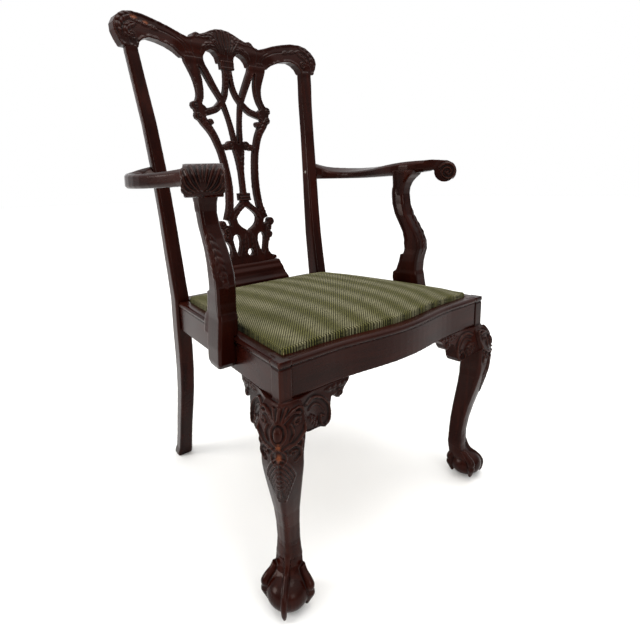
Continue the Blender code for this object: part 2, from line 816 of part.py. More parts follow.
def both_halves(right_half):
    """Closed outline from its right half, which runs from the middle round to the middle."""
    left_half = [(-x, z) for x, z in reversed(right_half) if abs(x) > 1e-6]
    return list(right_half) + left_half


def is_inside(point, loop):
    """True where the loop winds round the point."""
    turns = 0
    for (x0, z0), (x1, z1) in zip(loop, loop[1:] + loop[:1]):
        side = (x1 - x0) * (point[1] - z0) - (point[0] - x0) * (z1 - z0)
        if z0 <= point[1] < z1 and side > 0:
            turns += 1
        elif z1 <= point[1] < z0 and side < 0:
            turns -= 1
    return turns != 0


def panel(name, solids, windows, thickness, place):
    """Flat plate covering every solid loop (a, b), less the windows; place(a, depth, b)."""
    points, edges = [], []
    for loop in solids + windows:
        first = len(points)
        points += [Vector(point) for point in loop]
        edges += [(first + k, first + (k + 1) % len(loop)) for k in range(len(loop))]
    corners, _, triangles, _, _, _ = delaunay_2d_cdt(points, edges, [], 0, WELD)
    data = bmesh.new()
    front = [data.verts.new(place(corner.x, 0.0, corner.y)) for corner in corners]
    back = [data.verts.new(place(corner.x, thickness, corner.y)) for corner in corners]
    uses = {}
    for triangle in triangles:
        centre = sum((corners[index] for index in triangle), Vector((0.0, 0.0))) / 3
        if (any(is_inside(centre, loop) for loop in windows)
                or not any(is_inside(centre, loop) for loop in solids)):
            continue
        data.faces.new([front[index] for index in triangle])
        data.faces.new([back[index] for index in triangle])
        for start, end in zip(triangle, triangle[1:] + triangle[:1]):
            key = (min(start, end), max(start, end))
            uses[key] = uses.get(key, 0) + 1
    for (start, end), count in uses.items():
        if count == 1:
            data.faces.new((front[start], front[end], back[end], back[start]))
    loose = [vertex for vertex in data.verts if not vertex.link_faces]
    bmesh.ops.delete(data, geom=loose, context="VERTS")
    bmesh.ops.remove_doubles(data, verts=data.verts, dist=PANEL_WELD)
    bmesh.ops.dissolve_degenerate(data, edges=data.edges, dist=WELD)
    bmesh.ops.recalc_face_normals(data, faces=data.faces)
    bmesh.ops.dissolve_limit(data, angle_limit=FLAT_ANGLE, verts=data.verts, edges=data.edges)
    return object_from_bmesh(name, data)


def bend(piece, levels, face_y):
    """Slices a flat panel at the levels of x and z and moves it back by face_y(x, z)."""
    data = bmesh.new()
    data.from_mesh(piece.data)
    for normal, marks in zip((X_AXIS, Z_AXIS), levels):
        for level in marks:
            bmesh.ops.bisect_plane(data, geom=data.verts[:] + data.edges[:] + data.faces[:],
                                   dist=PANEL_WELD, plane_co=normal * level, plane_no=normal)
    data.normal_update()
    bmesh.ops.triangulate(data, faces=data.faces, ngon_method="EAR_CLIP")
    for vertex in data.verts:
        vertex.co.y += face_y(vertex.co.x, vertex.co.z)
    data.to_mesh(piece.data)
    data.free()


def back_splat():
    """Pierced splat: interlaced straps in one plate, bent to the slope of the back."""
    outlines = [both_halves(SPLAT_BASE), strap_outline(STEM)]
    for strap in (OUTER_STRAP, CROSS_STRAP, WAIST_STRAP, LOZENGE_STRAP, CENTRE_STRAP):
        outlines += [strap_outline(strap), flip(strap_outline(strap))]
    for x, z, radius in SPLAT_DISCS:
        outlines += [disc_outline(x, z, radius), disc_outline(-x, z, radius)]
    for z, reach in SPLAT_COLLARS:
        outlines.append([(-reach, z), (reach, z), (reach, z + 0.018), (-reach, z + 0.018)])
    windows = [list(TEARDROP), flip(TEARDROP), both_halves(LOZENGE_WINDOW),
               disc_outline(0.0, 0.502, 0.009)]
    splat = panel("splat", outlines, windows, SPLAT_THICKNESS, plain_place)
    cut(splat, box("trim", (-0.2, -0.02, CREST_JOINT_Z - GAP), (0.2, 0.03, 1.0)))
    bend(splat, ((), SPLAT_SLICES), lambda x, z: splat_face_y(z))
    for x in CREST_TENONS:
        add(splat, splat_tenon(x))
    return finish(splat, "mahogany", (0.0, splat_face_y(SHOE_TOP), SHOE_TOP))


def crest_rail():
    """Shaped top rail: the outline follows the ears and the raised middle."""
    outline = both_halves(list(CREST_TOP_EDGE) + list(CREST_BOTTOM_EDGE))
    crest = panel("crest_rail", [outline], [], CREST_THICKNESS, plain_place)
    bend(crest, (CREST_SLICES, (0.98,)), crest_face_y)
    for side in (-1, 1):
        cut(crest, post_tenon(side, GAP))
    for x in CREST_TENONS:
        cut(crest, splat_tenon(x, GAP))
    return finish(crest, "mahogany", (0.0, crest_face_y(0.0, CREST_JOINT_Z), CREST_JOINT_Z))


# --- Front legs ----------------------------------------------------------------------------

def leg_section(out, back, half):
    """Four-sided section with a crisp front arris and softened corners."""
    middle = (out + back) / 2
    corners = ((out, 0.0), (middle, half), (back, 0.0), (middle, -half))
    points = []
    for index, corner in enumerate(corners):
        following = corners[(index + 1) % 4]
        bulge_middle = 1.05 if index in (0, 3) else 1.0
        for t, bulge in ((0.08, 1.0), (0.5, bulge_middle), (0.90, 1.0)):
            x = corner[0] + (following[0] - corner[0]) * t
            y = corner[1] + (following[1] - corner[1]) * t
            points.append((middle + (x - middle) * bulge, y * bulge))
    return points


def claw(direction):
    """One talon: a tapered toe from the ankle, over the ball, down to its nail."""
    place = leg_place(1)
    path = ((0.012, 0.082, 0.0085), (0.022, 0.064, 0.0080), (0.033, 0.050, 0.0085),
            (0.0375, 0.036, 0.0070), (0.0370, 0.022, 0.0065), (0.0330, 0.010, 0.0050),
            (0.0280, 0.002, 0.0030))
    out_sign, across_sign = direction
    rings = []
    for index, (reach, z, radius) in enumerate(path):
        before = path[max(index - 1, 0)]
        after = path[min(index + 1, len(path) - 1)]
        slope = Vector((after[0] - before[0], after[1] - before[1])).normalized()
        ring = []
        for k in range(6):
            angle = 2 * math.pi * k / 6
            lift = radius * math.cos(angle)
            sideways = radius * math.sin(angle)
            radial = reach - slope.y * lift
            height = z + slope.x * lift
            out = FOOT_ON_DIAGONAL + out_sign * radial + across_sign * sideways
            across = across_sign * radial + out_sign * sideways
            ring.append(place(out, across, height))
        rings.append(ring)
    return loft("claw", rings)


def ball():
    place = leg_place(1)
    rings = []
    for k in range(1, 9):
        angle = math.pi * k / 9
        z = BALL_CENTRE_Z - BALL_HALF_HEIGHT * math.cos(angle)
        radius = BALL_RADIUS * math.sin(angle)
        rings.append([place(FOOT_ON_DIAGONAL + radius * math.cos(2 * math.pi * j / 14),
                            radius * math.sin(2 * math.pi * j / 14), z) for j in range(14)])
    return loft("ball", rings)


def inset_corner(side, inset, y):
    """Plan point at a distance in from the side rail's face, at a given depth y."""
    along = (y + RAIL_OUTWARD.y * inset) / RAIL_ALONG.y
    return side_rail_place(side)(along, inset, 0.0)


def seat_space(side):
    """Rebate for the drop-in seat's corner in a front leg's square top."""
    corner = inset_corner(side, REBATE_FROM_FACE, REBATE_FROM_FACE)
    plan = [corner, corner + mirrored(RAIL_ALONG * 0.05, side),
            corner + mirrored((-0.05, 0.05, 0.0), side), corner + mirrored((-0.05, 0.0, 0.0), side)]
    return loft("seat_space", [[p + Z_AXIS * LEDGE_Z for p in plan],
                               [p + Z_AXIS * (RAIL_TOP + 0.01) for p in plan]])


def front_leg():
    """Cabriole leg: square top, knee, ankle, claw-and-ball foot."""
    place = leg_place(1)
    rings = []
    for z, out, back, half in LEG_SECTIONS:
        rings.append([place(a, b, z) for a, b in leg_section(out, back, half)])
    leg = loft("front_leg_right", rings)
    add(leg, stump(1, RAIL_BOTTOM - 0.010, RAIL_TOP))
    add(leg, ball())
    for direction in ((1, 0), (-1, 0), (0, 1), (0, -1)):
        add(leg, claw(direction))
    under = CORNER.x * 1
    cut(leg, box("floor", (under - 0.2, -0.2, -0.1), (under + 0.2, 0.2, 0.0)))
    cut(leg, seat_space(1))
    cut(leg, rail_tenon(front_rail_place(1), TENON_TIP, STUMP_DEPTH + 0.006, GAP))
    cut(leg, rail_tenon(side_rail_place(1), TENON_TIP, STUMP_DEPTH + 0.006, GAP))
    return finish(leg, "mahogany", place(FOOT_ON_DIAGONAL, 0.0, 0.0), smooth=True)


def knee_bracket(name, place, scale):
    """Scrolled block glued under a rail beside the knee; its face swells towards the leg."""
    def swell(along, z):
        fade = max(0.0, 1.0 - (along - 0.040) / 0.080)
        drop = min(1.0, (RAIL_BOTTOM - z) / 0.045)
        return 0.020 * fade * math.sqrt(max(drop, 0.0))

    start = BRACKET_OUTLINE[0][0]
    outline = [(start + (along - start) * scale, z) for along, z in BRACKET_OUTLINE]
    front = [place(along, 0.002 - swell(along, z), z) for along, z in outline]
    back = [place(along, BRACKET_THICKNESS, z) for along, z in outline]
    bracket = loft(name, [front, back])
    return finish(bracket, "mahogany", place(start, 0.0, RAIL_BOTTOM))


# --- Arms ----------------------------------------------------------------------------------

def scroll_outline():
    """Side view of the rolled end, (forward, height): the arm's top runs on into a roll."""
    outline = [(-0.040, 0.6890), (-0.040, 0.7145), (-0.022, 0.7155), (-0.004, 0.7150),
               (0.010, 0.7120)]
    for index in range(12):
        angle = math.radians(45.0 - 235.0 * index / 11)
        outline.append((0.0065 + ARM_SCROLL_RADIUS * math.cos(angle),
                        ARM_SCROLL_Z + ARM_SCROLL_RADIUS * math.sin(angle)))
    outline.append((-0.026, 0.6915))
    return outline


def arm():
    """Shaped arm: bowed in plan, thickened at the post and rolled over at the front."""
    line = smooth_line(ARM_SECTIONS, 2)
    rings = []
    for index, (x, y, low, width, inner_height, outer_height) in enumerate(line):
        before = line[max(index - 1, 0)]
        after = line[min(index + 1, len(line) - 1)]
        along = Vector((after[0] - before[0], after[1] - before[1], 0.0)).normalized()
        if index == 0:
            along = X_AXIS.copy()
        across = Vector((-along.y, along.x, 0.0))
        edge = width / 2
        corner = inner_height * 0.25
        section = ((-edge, corner), (corner - edge, 0.0), (edge - corner, 0.0), (edge, corner),
                   (edge, outer_height - corner), (edge - corner, outer_height),
                   (corner - edge, inner_height), (-edge, inner_height - corner))
        rings.append([Vector((x, y, low)) + across * a + Z_AXIS * b for a, b in section])
    piece = loft("arm_right", rings)
    forward = Vector((*ARM_FORWARD, 0.0))
    axis = Vector((-forward.y, forward.x, 0.0))
    centre = Vector((*ARM_SCROLL_CENTRE, 0.0))

    def place(ahead, sideways, z):
        return centre + forward * ahead + axis * sideways + Z_AXIS * z

    half = ARM_SCROLL_WIDTH / 2
    add(piece, prism("scroll", scroll_outline(), -half, half, place))
    cut(piece, box("support_seat", (0.235, 0.180, 0.660), (0.305, 0.232, SUPPORT_TOP + GAP)))
    cut(piece, support_tenon(GAP))
    bore(piece, arm_screw_line(1))
    return finish(piece, "mahogany", place(0.0, 0.0, ARM_SCROLL_Z), smooth=True)


def support_tenon(grow=0.0):
    return box("tenon", (0.263, 0.196, SUPPORT_TOP - 0.006), (0.275, 0.214, SUPPORT_TOP + 0.014),
               grow=grow)


def arm_support():
    """S-shaped support: notched over the side rail, tenoned into the arm."""
    rings = []
    lean = RAIL_ALONG.x / RAIL_ALONG.y
    for z, front, rear, middle, thickness in SUPPORT_SECTIONS:
        chamfer = 0.004
        half = thickness / 2
        centre_y = (front + rear) / 2
        section = ((front, half - chamfer), (front + chamfer, half), (rear - chamfer, half),
                   (rear, half - chamfer), (rear, -half + chamfer), (rear - chamfer, -half),
                   (front + chamfer, -half), (front, -half + chamfer))
        rings.append([Vector((middle + x + lean * (y - centre_y), y, z)) for y, x in section])
    support = loft("arm_support_right", rings)
    place = side_rail_place(1)
    lip_low = RAIL_TOP - 0.0135
    cut(support, box("rail_space", (0.10, -GAP, lip_low), (0.28, 0.06, RAIL_TOP + GAP), place))
    cut(support, box("rail_space", (0.10, RAIL_LIP - GAP, 0.30), (0.28, 0.06, lip_low + 0.001),
                     place))
    add(support, support_tenon())
    for index in range(2):
        bore(support, support_screw_line(1, index))
    return finish(support, "mahogany", place(0.173, 0.0, RAIL_TOP))


def corner_block(corner):
    """Glue block across the inside of a corner of the seat rails."""
    inside = RAIL_THICKNESS + GAP
    flank = side_rail_place(1)
    if corner == "front":
        front = front_rail_place(1)
        plan = [front(0.048, inside, 0.0), front(0.110, inside, 0.0),
                flank(0.110, inside, 0.0), flank(0.048, inside, 0.0)]
    else:
        wall = POST_FRONT_Y - 0.012 - GAP
        plan = [flank(0.350, inside, 0.0), flank(0.405, inside, 0.0),
                mirrored((0.176, wall, 0.0), 1), mirrored((0.115, wall, 0.0), 1)]
    block = loft(f"{corner}_corner_block_right",
                 [[p + Z_AXIS * 0.364 for p in plan], [p + Z_AXIS * 0.402 for p in plan]])
    for index in range(2):
        bore(block, block_screw_line(corner, 1, index))
    return finish(block, "beech", plan[0] + Z_AXIS * 0.364)


# --- Drop-in seat --------------------------------------------------------------------------

SEAT_INSET = REBATE_FROM_FACE + SEAT_CLEARANCE
SEAT_REAR_Y = 0.4195
FRAME_INSET = SEAT_INSET + COVER_THICKNESS + GAP
FRAME_BOTTOM = LEDGE_Z + GAP
LAP_Z = (FRAME_BOTTOM + SEAT_FRAME_TOP) / 2
FRAME_MEMBER = 0.046


def seat_side_member(side, low=FRAME_BOTTOM, high=SEAT_FRAME_TOP, grow=0.0):
    """Side bar of the seat's frame, running its whole length."""
    rear = SEAT_REAR_Y - COVER_THICKNESS - GAP
    inner = FRAME_INSET + FRAME_MEMBER
    outline = [inset_corner(side, FRAME_INSET - grow, FRAME_INSET - grow),
               inset_corner(side, FRAME_INSET - grow, rear + grow),
               inset_corner(side, inner + grow, rear + grow),
               inset_corner(side, inner + grow, FRAME_INSET - grow)]
    return loft("seat_side_member", [[p + Z_AXIS * low for p in outline],
                                     [p + Z_AXIS * high for p in outline]])


def seat_cross_member(name, rear, low=FRAME_BOTTOM, high=SEAT_FRAME_TOP, grow=0.0):
    """Front or rear bar of the seat's frame; the front one follows the serpentine rail."""
    back_y = SEAT_REAR_Y - COVER_THICKNESS - GAP + grow
    outline = []
    if rear:
        far, near = back_y, back_y - FRAME_MEMBER - 2 * grow
        for side in (1, -1):
            outline += [inset_corner(side, FRAME_INSET - grow, y)
                        for y in ((near, far) if side > 0 else (far, near))]
    else:
        front_edge = seat_grid(FRAME_INSET - grow, 0.0)[0]
        outline = [Vector((point.x, point.y, 0.0)) for point in reversed(front_edge)]
        inner_y = FRAME_INSET + FRAME_MEMBER - 0.004 + grow
        outline += [inset_corner(-1, FRAME_INSET - grow, inner_y),
                    inset_corner(1, FRAME_INSET - grow, inner_y)]
    return loft(name, [[p + Z_AXIS * low for p in outline], [p + Z_AXIS * high for p in outline]])


def seat_side_bar():
    bar = seat_side_member(1)
    bar.name = "seat_frame_right"
    for rear in (False, True):
        cut(bar, seat_cross_member("lap", rear, LAP_Z, SEAT_FRAME_TOP + 0.01, GAP))
    return finish(bar, "beech", inset_corner(1, FRAME_INSET, 0.2) + Z_AXIS * FRAME_BOTTOM)


def seat_cross_bar(name, rear):
    bar = seat_cross_member(name, rear)
    for side in (-1, 1):
        cut(bar, seat_side_member(side, FRAME_BOTTOM - 0.01, LAP_Z + GAP, GAP))
    return finish(bar, "beech", (0.0, SEAT_REAR_Y if rear else 0.0, FRAME_BOTTOM))


def seat_webbing():
    """Woven straps across the frame, five one way and five the other, as one flat lattice."""
    low = SEAT_FRAME_TOP + GAP
    straps = []
    for x in (-0.130, -0.066, 0.0, 0.066, 0.130):
        straps.append(((x - 0.024, 0.038), (x + 0.024, 0.405)))
    for y in (0.095, 0.165, 0.235, 0.305, 0.365):
        reach = inset_corner(1, FRAME_INSET + 0.012, y).x
        straps.append(((-reach, y - 0.022), (reach, y + 0.022)))
    loops = [[(x0, y0), (x1, y0), (x1, y1), (x0, y1)] for (x0, y0), (x1, y1) in straps]
    lattice = panel("seat_webbing", loops, [], WEBBING_THICKNESS,
                    lambda x, depth, y: Vector((x, y, low + depth)))
    return finish(lattice, "webbing", (0.0, 0.2, low))


def seat_grid(inset, lowered, across=12, deep=8):
    """Points of the crowned top of the seat at a distance in from its outer face."""
    rows = []
    rear = SEAT_REAR_Y - (inset - SEAT_INSET)
    for j in range(deep + 1):
        t = j / deep
        row = []
        for i in range(across + 1):
            s = -1 + 2 * i / across
            edge_front = inset_corner(1, inset, inset).x
            edge_rear = inset_corner(1, inset, rear).x
            x = s * (edge_front + (edge_rear - edge_front) * t)
            front = serpentine_y(x) + inset
            y = front + (rear - front) * t
            dome = (1 - abs(s) ** 3.0) ** 0.7 * (1 - abs(2 * t - 1) ** 3.0) ** 0.7
            z = SEAT_EDGE_Z + (SEAT_CROWN - SEAT_EDGE_Z) * dome - lowered
            row.append(Vector((x, y, z)))
        rows.append(row)
    return rows


def border(rows):
    """Points round the edge of a grid, in order."""
    return (rows[0][:-1] + [row[-1] for row in rows[:-1]] + rows[-1][:0:-1]
            + [row[0] for row in rows[:0:-1]])


def grid_faces(data, rows):
    """Adds a grid's faces and returns the vertices of its border."""
    vertices = [[data.verts.new(point) for point in row] for row in rows]
    for low, high in zip(vertices, vertices[1:]):
        for index in range(len(low) - 1):
            data.faces.new((low[index], low[index + 1], high[index + 1], high[index]))
    return border(vertices)


def bridge(data, first, second):
    for index in range(len(first)):
        after = (index + 1) % len(first)
        data.faces.new((first[index], first[after], second[after], second[index]))


def seat_stuffing():
    """Crowned pad between the webbing and the cover."""
    data = bmesh.new()
    top = grid_faces(data, seat_grid(FRAME_INSET, COVER_THICKNESS + GAP))
    low = SEAT_FRAME_TOP + WEBBING_THICKNESS + 2 * GAP
    base = [data.verts.new((v.co.x, v.co.y, low)) for v in top]
    bridge(data, top, base)
    bmesh.ops.triangulate(data, faces=[data.faces.new(base)], ngon_method="EAR_CLIP")
    pad = object_from_bmesh("seat_stuffing", data)
    return finish(pad, "stuffing", (0.0, 0.2, low), smooth=True)


def seat_cover():
    """Cloth shell over the pad, open underneath, with sides down to the rebate."""
    data = bmesh.new()
    outer = grid_faces(data, seat_grid(SEAT_INSET, 0.0))
    inner = grid_faces(data, seat_grid(SEAT_INSET + COVER_THICKNESS, COVER_THICKNESS))
    outer_rim = [data.verts.new((v.co.x, v.co.y, FRAME_BOTTOM)) for v in outer]
    inner_rim = [data.verts.new((v.co.x, v.co.y, FRAME_BOTTOM)) for v in inner]
    bridge(data, outer, outer_rim)
    bridge(data, outer_rim, inner_rim)
    bridge(data, inner_rim, inner)
    cover = object_from_bmesh("seat_cover", data)
    return finish(cover, "seat_fabric", (0.0, 0.2, FRAME_BOTTOM), smooth=True)


# --- Screws --------------------------------------------------------------------------------

def screws():
    lines = [("arm_screw", arm_screw_line(1))]
    for index, level in enumerate(("lower", "upper")):
        lines.append((f"support_screw_{level}", support_screw_line(1, index)))
    for corner in ("front", "rear"):
        for index in range(2):
            lines.append((f"{corner}_block_screw_{index + 1}", block_screw_line(corner, 1, index)))
    for stem, line in lines:
        finish(screw(f"{stem}_right", line), "steel", line[0])


def left_drop(name, z):
    """How far a point of a left-hand piece comes down with the lower left arm."""
    if name.startswith("arm_support"):
        low, high = DROP_RANGE
        return LEFT_ARM_DROP * min(max((z - low) / (high - low), 0.0), 1.0)
    if name.startswith("arm"):
        return LEFT_ARM_DROP
    return 0.0


def mirror_pieces():
    """Left-hand copies of every right-hand piece; the left arm sits a little lower."""
    for piece in list(bpy.data.objects):
        if not piece.name.endswith("_right"):
            continue
        mesh = piece.data.copy()
        mesh.transform(Matrix.Scale(-1.0, 4, X_AXIS))
        mesh.flip_normals()
        mesh.name = piece.name.replace("_right", "_left")
        for vertex in mesh.vertices:
            vertex.co.z -= left_drop(piece.name, piece.location.z + vertex.co.z)
        twin = bpy.data.objects.new(mesh.name, mesh)
        bpy.context.scene.collection.objects.link(twin)
        twin.parent = piece.parent
        twin.location = mirrored(piece.location, -1)


def fit_arms():
    """Shapes each arm's end to its post and bores the post at that arm's height."""
    for side in (-1, 1):
        post = bpy.data.objects[side_name("rear_post", side)]
        fitted = bpy.data.objects[side_name("arm", side)]
        cut(fitted, loft("post_space", post_rings(side, GAP)))
        drop = Z_AXIS * (LEFT_ARM_DROP if side < 0 else 0.0)
        bore(post, [point - drop for point in arm_screw_line(side)])


def build():
    for old in list(bpy.data.objects):
        bpy.data.objects.remove(old)
    root = bpy.data.objects.new("chair_origin", None)
    root.location = (0.0, -LAYOUT_CENTRE_Y, 0.0)
    bpy.context.scene.collection.objects.link(root)
    rear_post()
    front_leg()
    side_seat_rail()
    knee_bracket("front_knee_bracket_right", front_rail_place(1), 1.0)
    knee_bracket("side_knee_bracket_right", side_rail_place(1), SIDE_BRACKET_SCALE)
    arm()
    arm_support()
    for corner in ("front", "rear"):
        corner_block(corner)
    seat_side_bar()
    screws()
    mirror_pieces()
    fit_arms()
    front_seat_rail()
    rear_seat_rail()
    splat_shoe()
    back_splat()
    crest_rail()
    for name, rear in (("seat_frame_front", False), ("seat_frame_rear", True)):
        seat_cross_bar(name, rear)
    seat_webbing()
    seat_stuffing()
    seat_cover()


build()
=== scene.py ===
# The looks of a carved mahogany armchair: each wooden piece is carved from its CAD solid,
# the seat is a simulated pad under a woven cloth, and every material is made of nodes.
import math

import bmesh
import bpy
import numpy as np
from mathutils import Matrix, Vector
from mathutils.bvhtree import BVHTree
from mathutils.kdtree import KDTree


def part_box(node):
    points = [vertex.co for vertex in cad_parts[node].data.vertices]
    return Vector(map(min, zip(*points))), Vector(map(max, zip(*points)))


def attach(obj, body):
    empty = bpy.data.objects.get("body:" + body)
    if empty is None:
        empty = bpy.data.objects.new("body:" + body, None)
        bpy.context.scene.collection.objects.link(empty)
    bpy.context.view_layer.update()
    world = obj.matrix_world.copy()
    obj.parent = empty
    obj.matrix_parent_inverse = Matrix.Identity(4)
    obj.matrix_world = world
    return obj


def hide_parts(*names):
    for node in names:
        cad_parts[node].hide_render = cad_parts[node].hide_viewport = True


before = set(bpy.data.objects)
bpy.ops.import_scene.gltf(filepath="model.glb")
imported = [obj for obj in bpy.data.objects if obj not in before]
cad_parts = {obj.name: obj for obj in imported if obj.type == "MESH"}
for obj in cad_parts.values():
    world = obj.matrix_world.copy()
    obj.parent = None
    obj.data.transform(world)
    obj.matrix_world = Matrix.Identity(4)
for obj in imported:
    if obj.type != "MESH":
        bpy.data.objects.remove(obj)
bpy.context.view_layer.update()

MM = 0.001
FRAME_BODY = "chair_frame"
SEAT_BODY = "drop_in_seat"
SIDES = ((-1, "left"), (1, "right"))

# Camera, in the frame's own metres and degrees.
CAMERA_PLACE = (-0.6871, -0.8016, 0.6826)
CAMERA_YAW = -40.977
CAMERA_PITCH = -10.396
CAMERA_ROLL = -1.130
CAMERA_LENS = 27.443
CAMERA_SHIFT = (0.02647, -0.08398)

# Seat rails: their top, the outer front corner on the right, and the ways from that corner.
RAIL_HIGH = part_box("side_seat_rail_right")[1].z
CORNER = np.array((0.282, -0.2776, 0.0))
RAIL_ALONG = np.array((-0.1460, 0.9893, 0.0))
RAIL_OUTWARD = np.array((0.9893, 0.1460, 0.0))
LEG_DIAGONAL = np.array((1.0, 0.0, 0.0)) - RAIL_ALONG
LEG_DIAGONAL /= np.linalg.norm(LEG_DIAGONAL)
LEG_ACROSS = np.array((-LEG_DIAGONAL[1], LEG_DIAGONAL[0], 0.0))
LIP_DEPTH = 11 * MM

# Crest rail: where the splat and the posts meet it, and its leaning face near that level.
CREST_JOINT = 0.955
JOINT_STEP = 5.4 * MM  # how far the crest's face is let back to meet the splat
CREST_FACE_Y = 0.2498
CREST_SLOPE = 0.285
CREST_SWEEP = 0.247  # how the face sweeps forward to the ears, per metre squared

# Arms: the middle of the right arm's rolled end, and which way the roll looks and lies.
ARM_SCROLL = np.array((0.3159, -0.1531, 0.6885))
ARM_FORWARD = np.array((0.529, -0.849, 0.0))
ARM_AXIS = np.array((0.849, 0.529, 0.0))
SCROLL_RADIUS = 23.5 * MM
SCROLL_HALF = 30 * MM
LEFT_DROP = 0.010  # the left arm sits this much lower than the right one

# Front foot, below the ankle. A talon seen from the side: how far out from the ball's middle,
# height, and half thickness.
ANKLE = 0.090
SOLE = 0.4 * MM
TALON = np.array((
    (21.5, 64, 6.6), (26, 56, 7.2), (32, 49, 7.8), (35.8, 41.5, 8.4), (36, 34.5, 6.6),
    (36.6, 28, 7.7), (33.5, 18, 5.5), (30, 7, 3))) * MM
FRONT_TALON = np.array((
    (-6.5, 90, 2.8), (-3.5, 78, 3.6), (1, 68, 4.2), (9, 57, 4.8), (21.5, 47, 5.2),
    (31.5, 37, 5.2), (36, 26.5, 5.2), (35.2, 14, 4.4), (32.5, 4.5, 2.6))) * MM
BALL = (0.0345, 0.0275)  # half width and half height
BALL_OUT = -0.020  # the ball's middle, along the diagonal from the corner
# Ankle and webs: height, front and back along the diagonal from the corner, and half width.
ANKLE_RINGS = np.array((
    (100, -23.5, -60, 17.5), (88, -23.2, -60.8, 19.3), (76, -22.2, -61.2, 20.2), (66, -18.5, -61, 22.6),
    (57, -11.5, -60, 26.8), (49, -0.5, -58, 31.8), (42, 9.5, -55, 34.5))) * MM
ANKLE_ROUND = 0.30  # 0 for a four-sided ankle, 1 for a round one

KNEE_DEPTH = 1.35  # how much bolder the knee is cut than its drawing
KNEE_SPREAD = 0.85  # drawn width of the knee for each metre across it

# Bracket: the lowest point of its volute, that point's reach, and how its foot rises to the knee.
VOLUTE_FOOT = 0.2950
VOLUTE_REACH = 0.085
VOLUTE_RISE = 0.40

# Head of an arm support: height, front and rear edge, middle across and thickness.
SUPPORT_HEAD = np.array((
    (638, -82.6, -58.5, 265.9, 34), (652, -84.2, -59, 266.8, 35), (665, -89, -59, 268, 38),
    (675, -96.5, -59, 269, 42), (683, -106, -59, 270, 45), (693, -111, -59, 270, 45))) * MM
SUPPORT_CUT = 0.652
# The same support below its head: height, front edge and middle across.
SUPPORT_LINE = np.array((
    (455, -125.6, 263.5), (480, -125.8, 264.3), (510, -131.6, 267.8), (530, -129.2, 268.7),
    (550, -120.7, 267.5), (570, -108.4, 265), (590, -95.6, 263.5), (615, -86.7, 264.5),
    (640, -82.3, 265.8))) * MM
SUPPORT_HALF = 18.5 * MM

# Seat.
WEAVE = 2.7 * MM  # one thread of the check, and of the raised weave
STRIPE = 55 * MM  # from one pale stripe of the cloth to the next
DARK_BAND = 30 * MM  # where a dark band runs, across the seat
PAD_VOXEL = 5 * MM
PAD_PRESSURE = 4.0
PAD_CAP = 7 * MM
PAD_FRAMES = 20
COVER_GAP = 0.8 * MM
COVER_PITCH = WEAVE / 2
COVER_LOW = 0.4055  # the lowest the turned-down cloth reaches
EDGE_ROUND = 4 * MM
TURNED = 20 * MM  # how much cloth is turned down at each edge
THREAD_LIFT = 0.30 * MM
LOWEST_EDGE = 0.4275  # the cloth clears the seat bars everywhere
SEAT_TAPER = 0.052  # how much nearer the middle a side of the seat ends at the back
STRAP_HALF = 24 * MM
STRAP_HALF_THICK = 0.45 * MM
STRAP_RUNS = (-0.130, -0.066, 0.0, 0.066, 0.130)
STRAP_CROSSINGS = tuple(CORNER[1] + y for y in (0.095, 0.165, 0.235, 0.305, 0.365))

# Studio.
BACKDROP_WAY = (0.656, 0.755, 0.0)  # the white backdrop stands this way from the chair
ROOM_LIGHT = 0.40  # how bright the rest of the room is beside the backdrop
CEILING_LIGHT = 1.9  # and the soft light overhead


# --- Strokes: carving is drawn as lines on a flat sheet, then laid on the wood -----------------
# Lines and their widths and heights are in millimetres; points and the results are in metres.

def curve(points, steps=8):
    """Smooth line through a few points; an array is a line already."""
    if isinstance(points, np.ndarray) or len(points) < 3:
        return np.asarray(points, float)
    points = np.asarray(points, float)
    ends = np.vstack([2 * points[0] - points[1], points, 2 * points[-1] - points[-2]])
    made = []
    for a, b, c, d in zip(ends, ends[1:], ends[2:], ends[3:]):
        for t in np.arange(steps) / steps:
            made.append(0.5 * (2 * b + (c - a) * t + (2 * a - 5 * b + 4 * c - d) * t * t
                               + (3 * b - a - 3 * c + d) * t ** 3))
    made.append(points[-1])
    return np.array(made)


def spiral(centre, outer, inner, turns, start, way=1, steps=40):
    """Volute winding inwards; start is its first angle in degrees."""
    t = np.linspace(0, 1, steps)
    angle = math.radians(start) + way * 2 * math.pi * turns * t
    radius = outer + (inner - outer) * t
    return np.c_[centre[0] + radius * np.cos(angle), centre[1] + radius * np.sin(angle)]


def along(points, line):
    """Each point's nearest place on a line, as a share of its length, and its distance from it."""
    start, run = line[:-1], np.diff(line, axis=0)
    length = np.maximum(np.linalg.norm(run, axis=1), 1e-9)
    unit = run / length[:, None]
    before = np.concatenate([[0], np.cumsum(length)[:-1]])
    delta = points[:, None, :] - start[None]
    reach = np.clip((delta * unit).sum(2), 0, length)
    away = delta - reach[:, :, None] * unit
    distance = np.linalg.norm(away, axis=2)
    nearest = distance.argmin(1)
    rows = np.arange(len(points))
    return (before[nearest] + reach[rows, nearest]) / length.sum(), distance[rows, nearest]


def stroke(points, line, reach, shape):
    """Lays shape(share, distance) along a line, on the points within reach of it."""
    line = curve(line)
    low, high = (line.min(0) - reach) * MM, (line.max(0) + reach) * MM
    close = np.flatnonzero(((points > low) & (points < high)).all(1))
    made = np.zeros(len(points))
    if len(close):
        made[close] = shape(*along(points[close] / MM, line)) * MM
    return made


def rounded(share):
    """Height of a round moulding at a share of its half width."""
    return np.sqrt(np.clip(1 - share ** 2, 0, 1))


def ridge(points, line, width, height, end_width=None):
    """Rounded moulding along a line."""
    end_width = end_width or width
    return stroke(points, line, max(width, end_width), lambda share, off: height * rounded(
        2 * off / (width + (end_width - width) * share)))


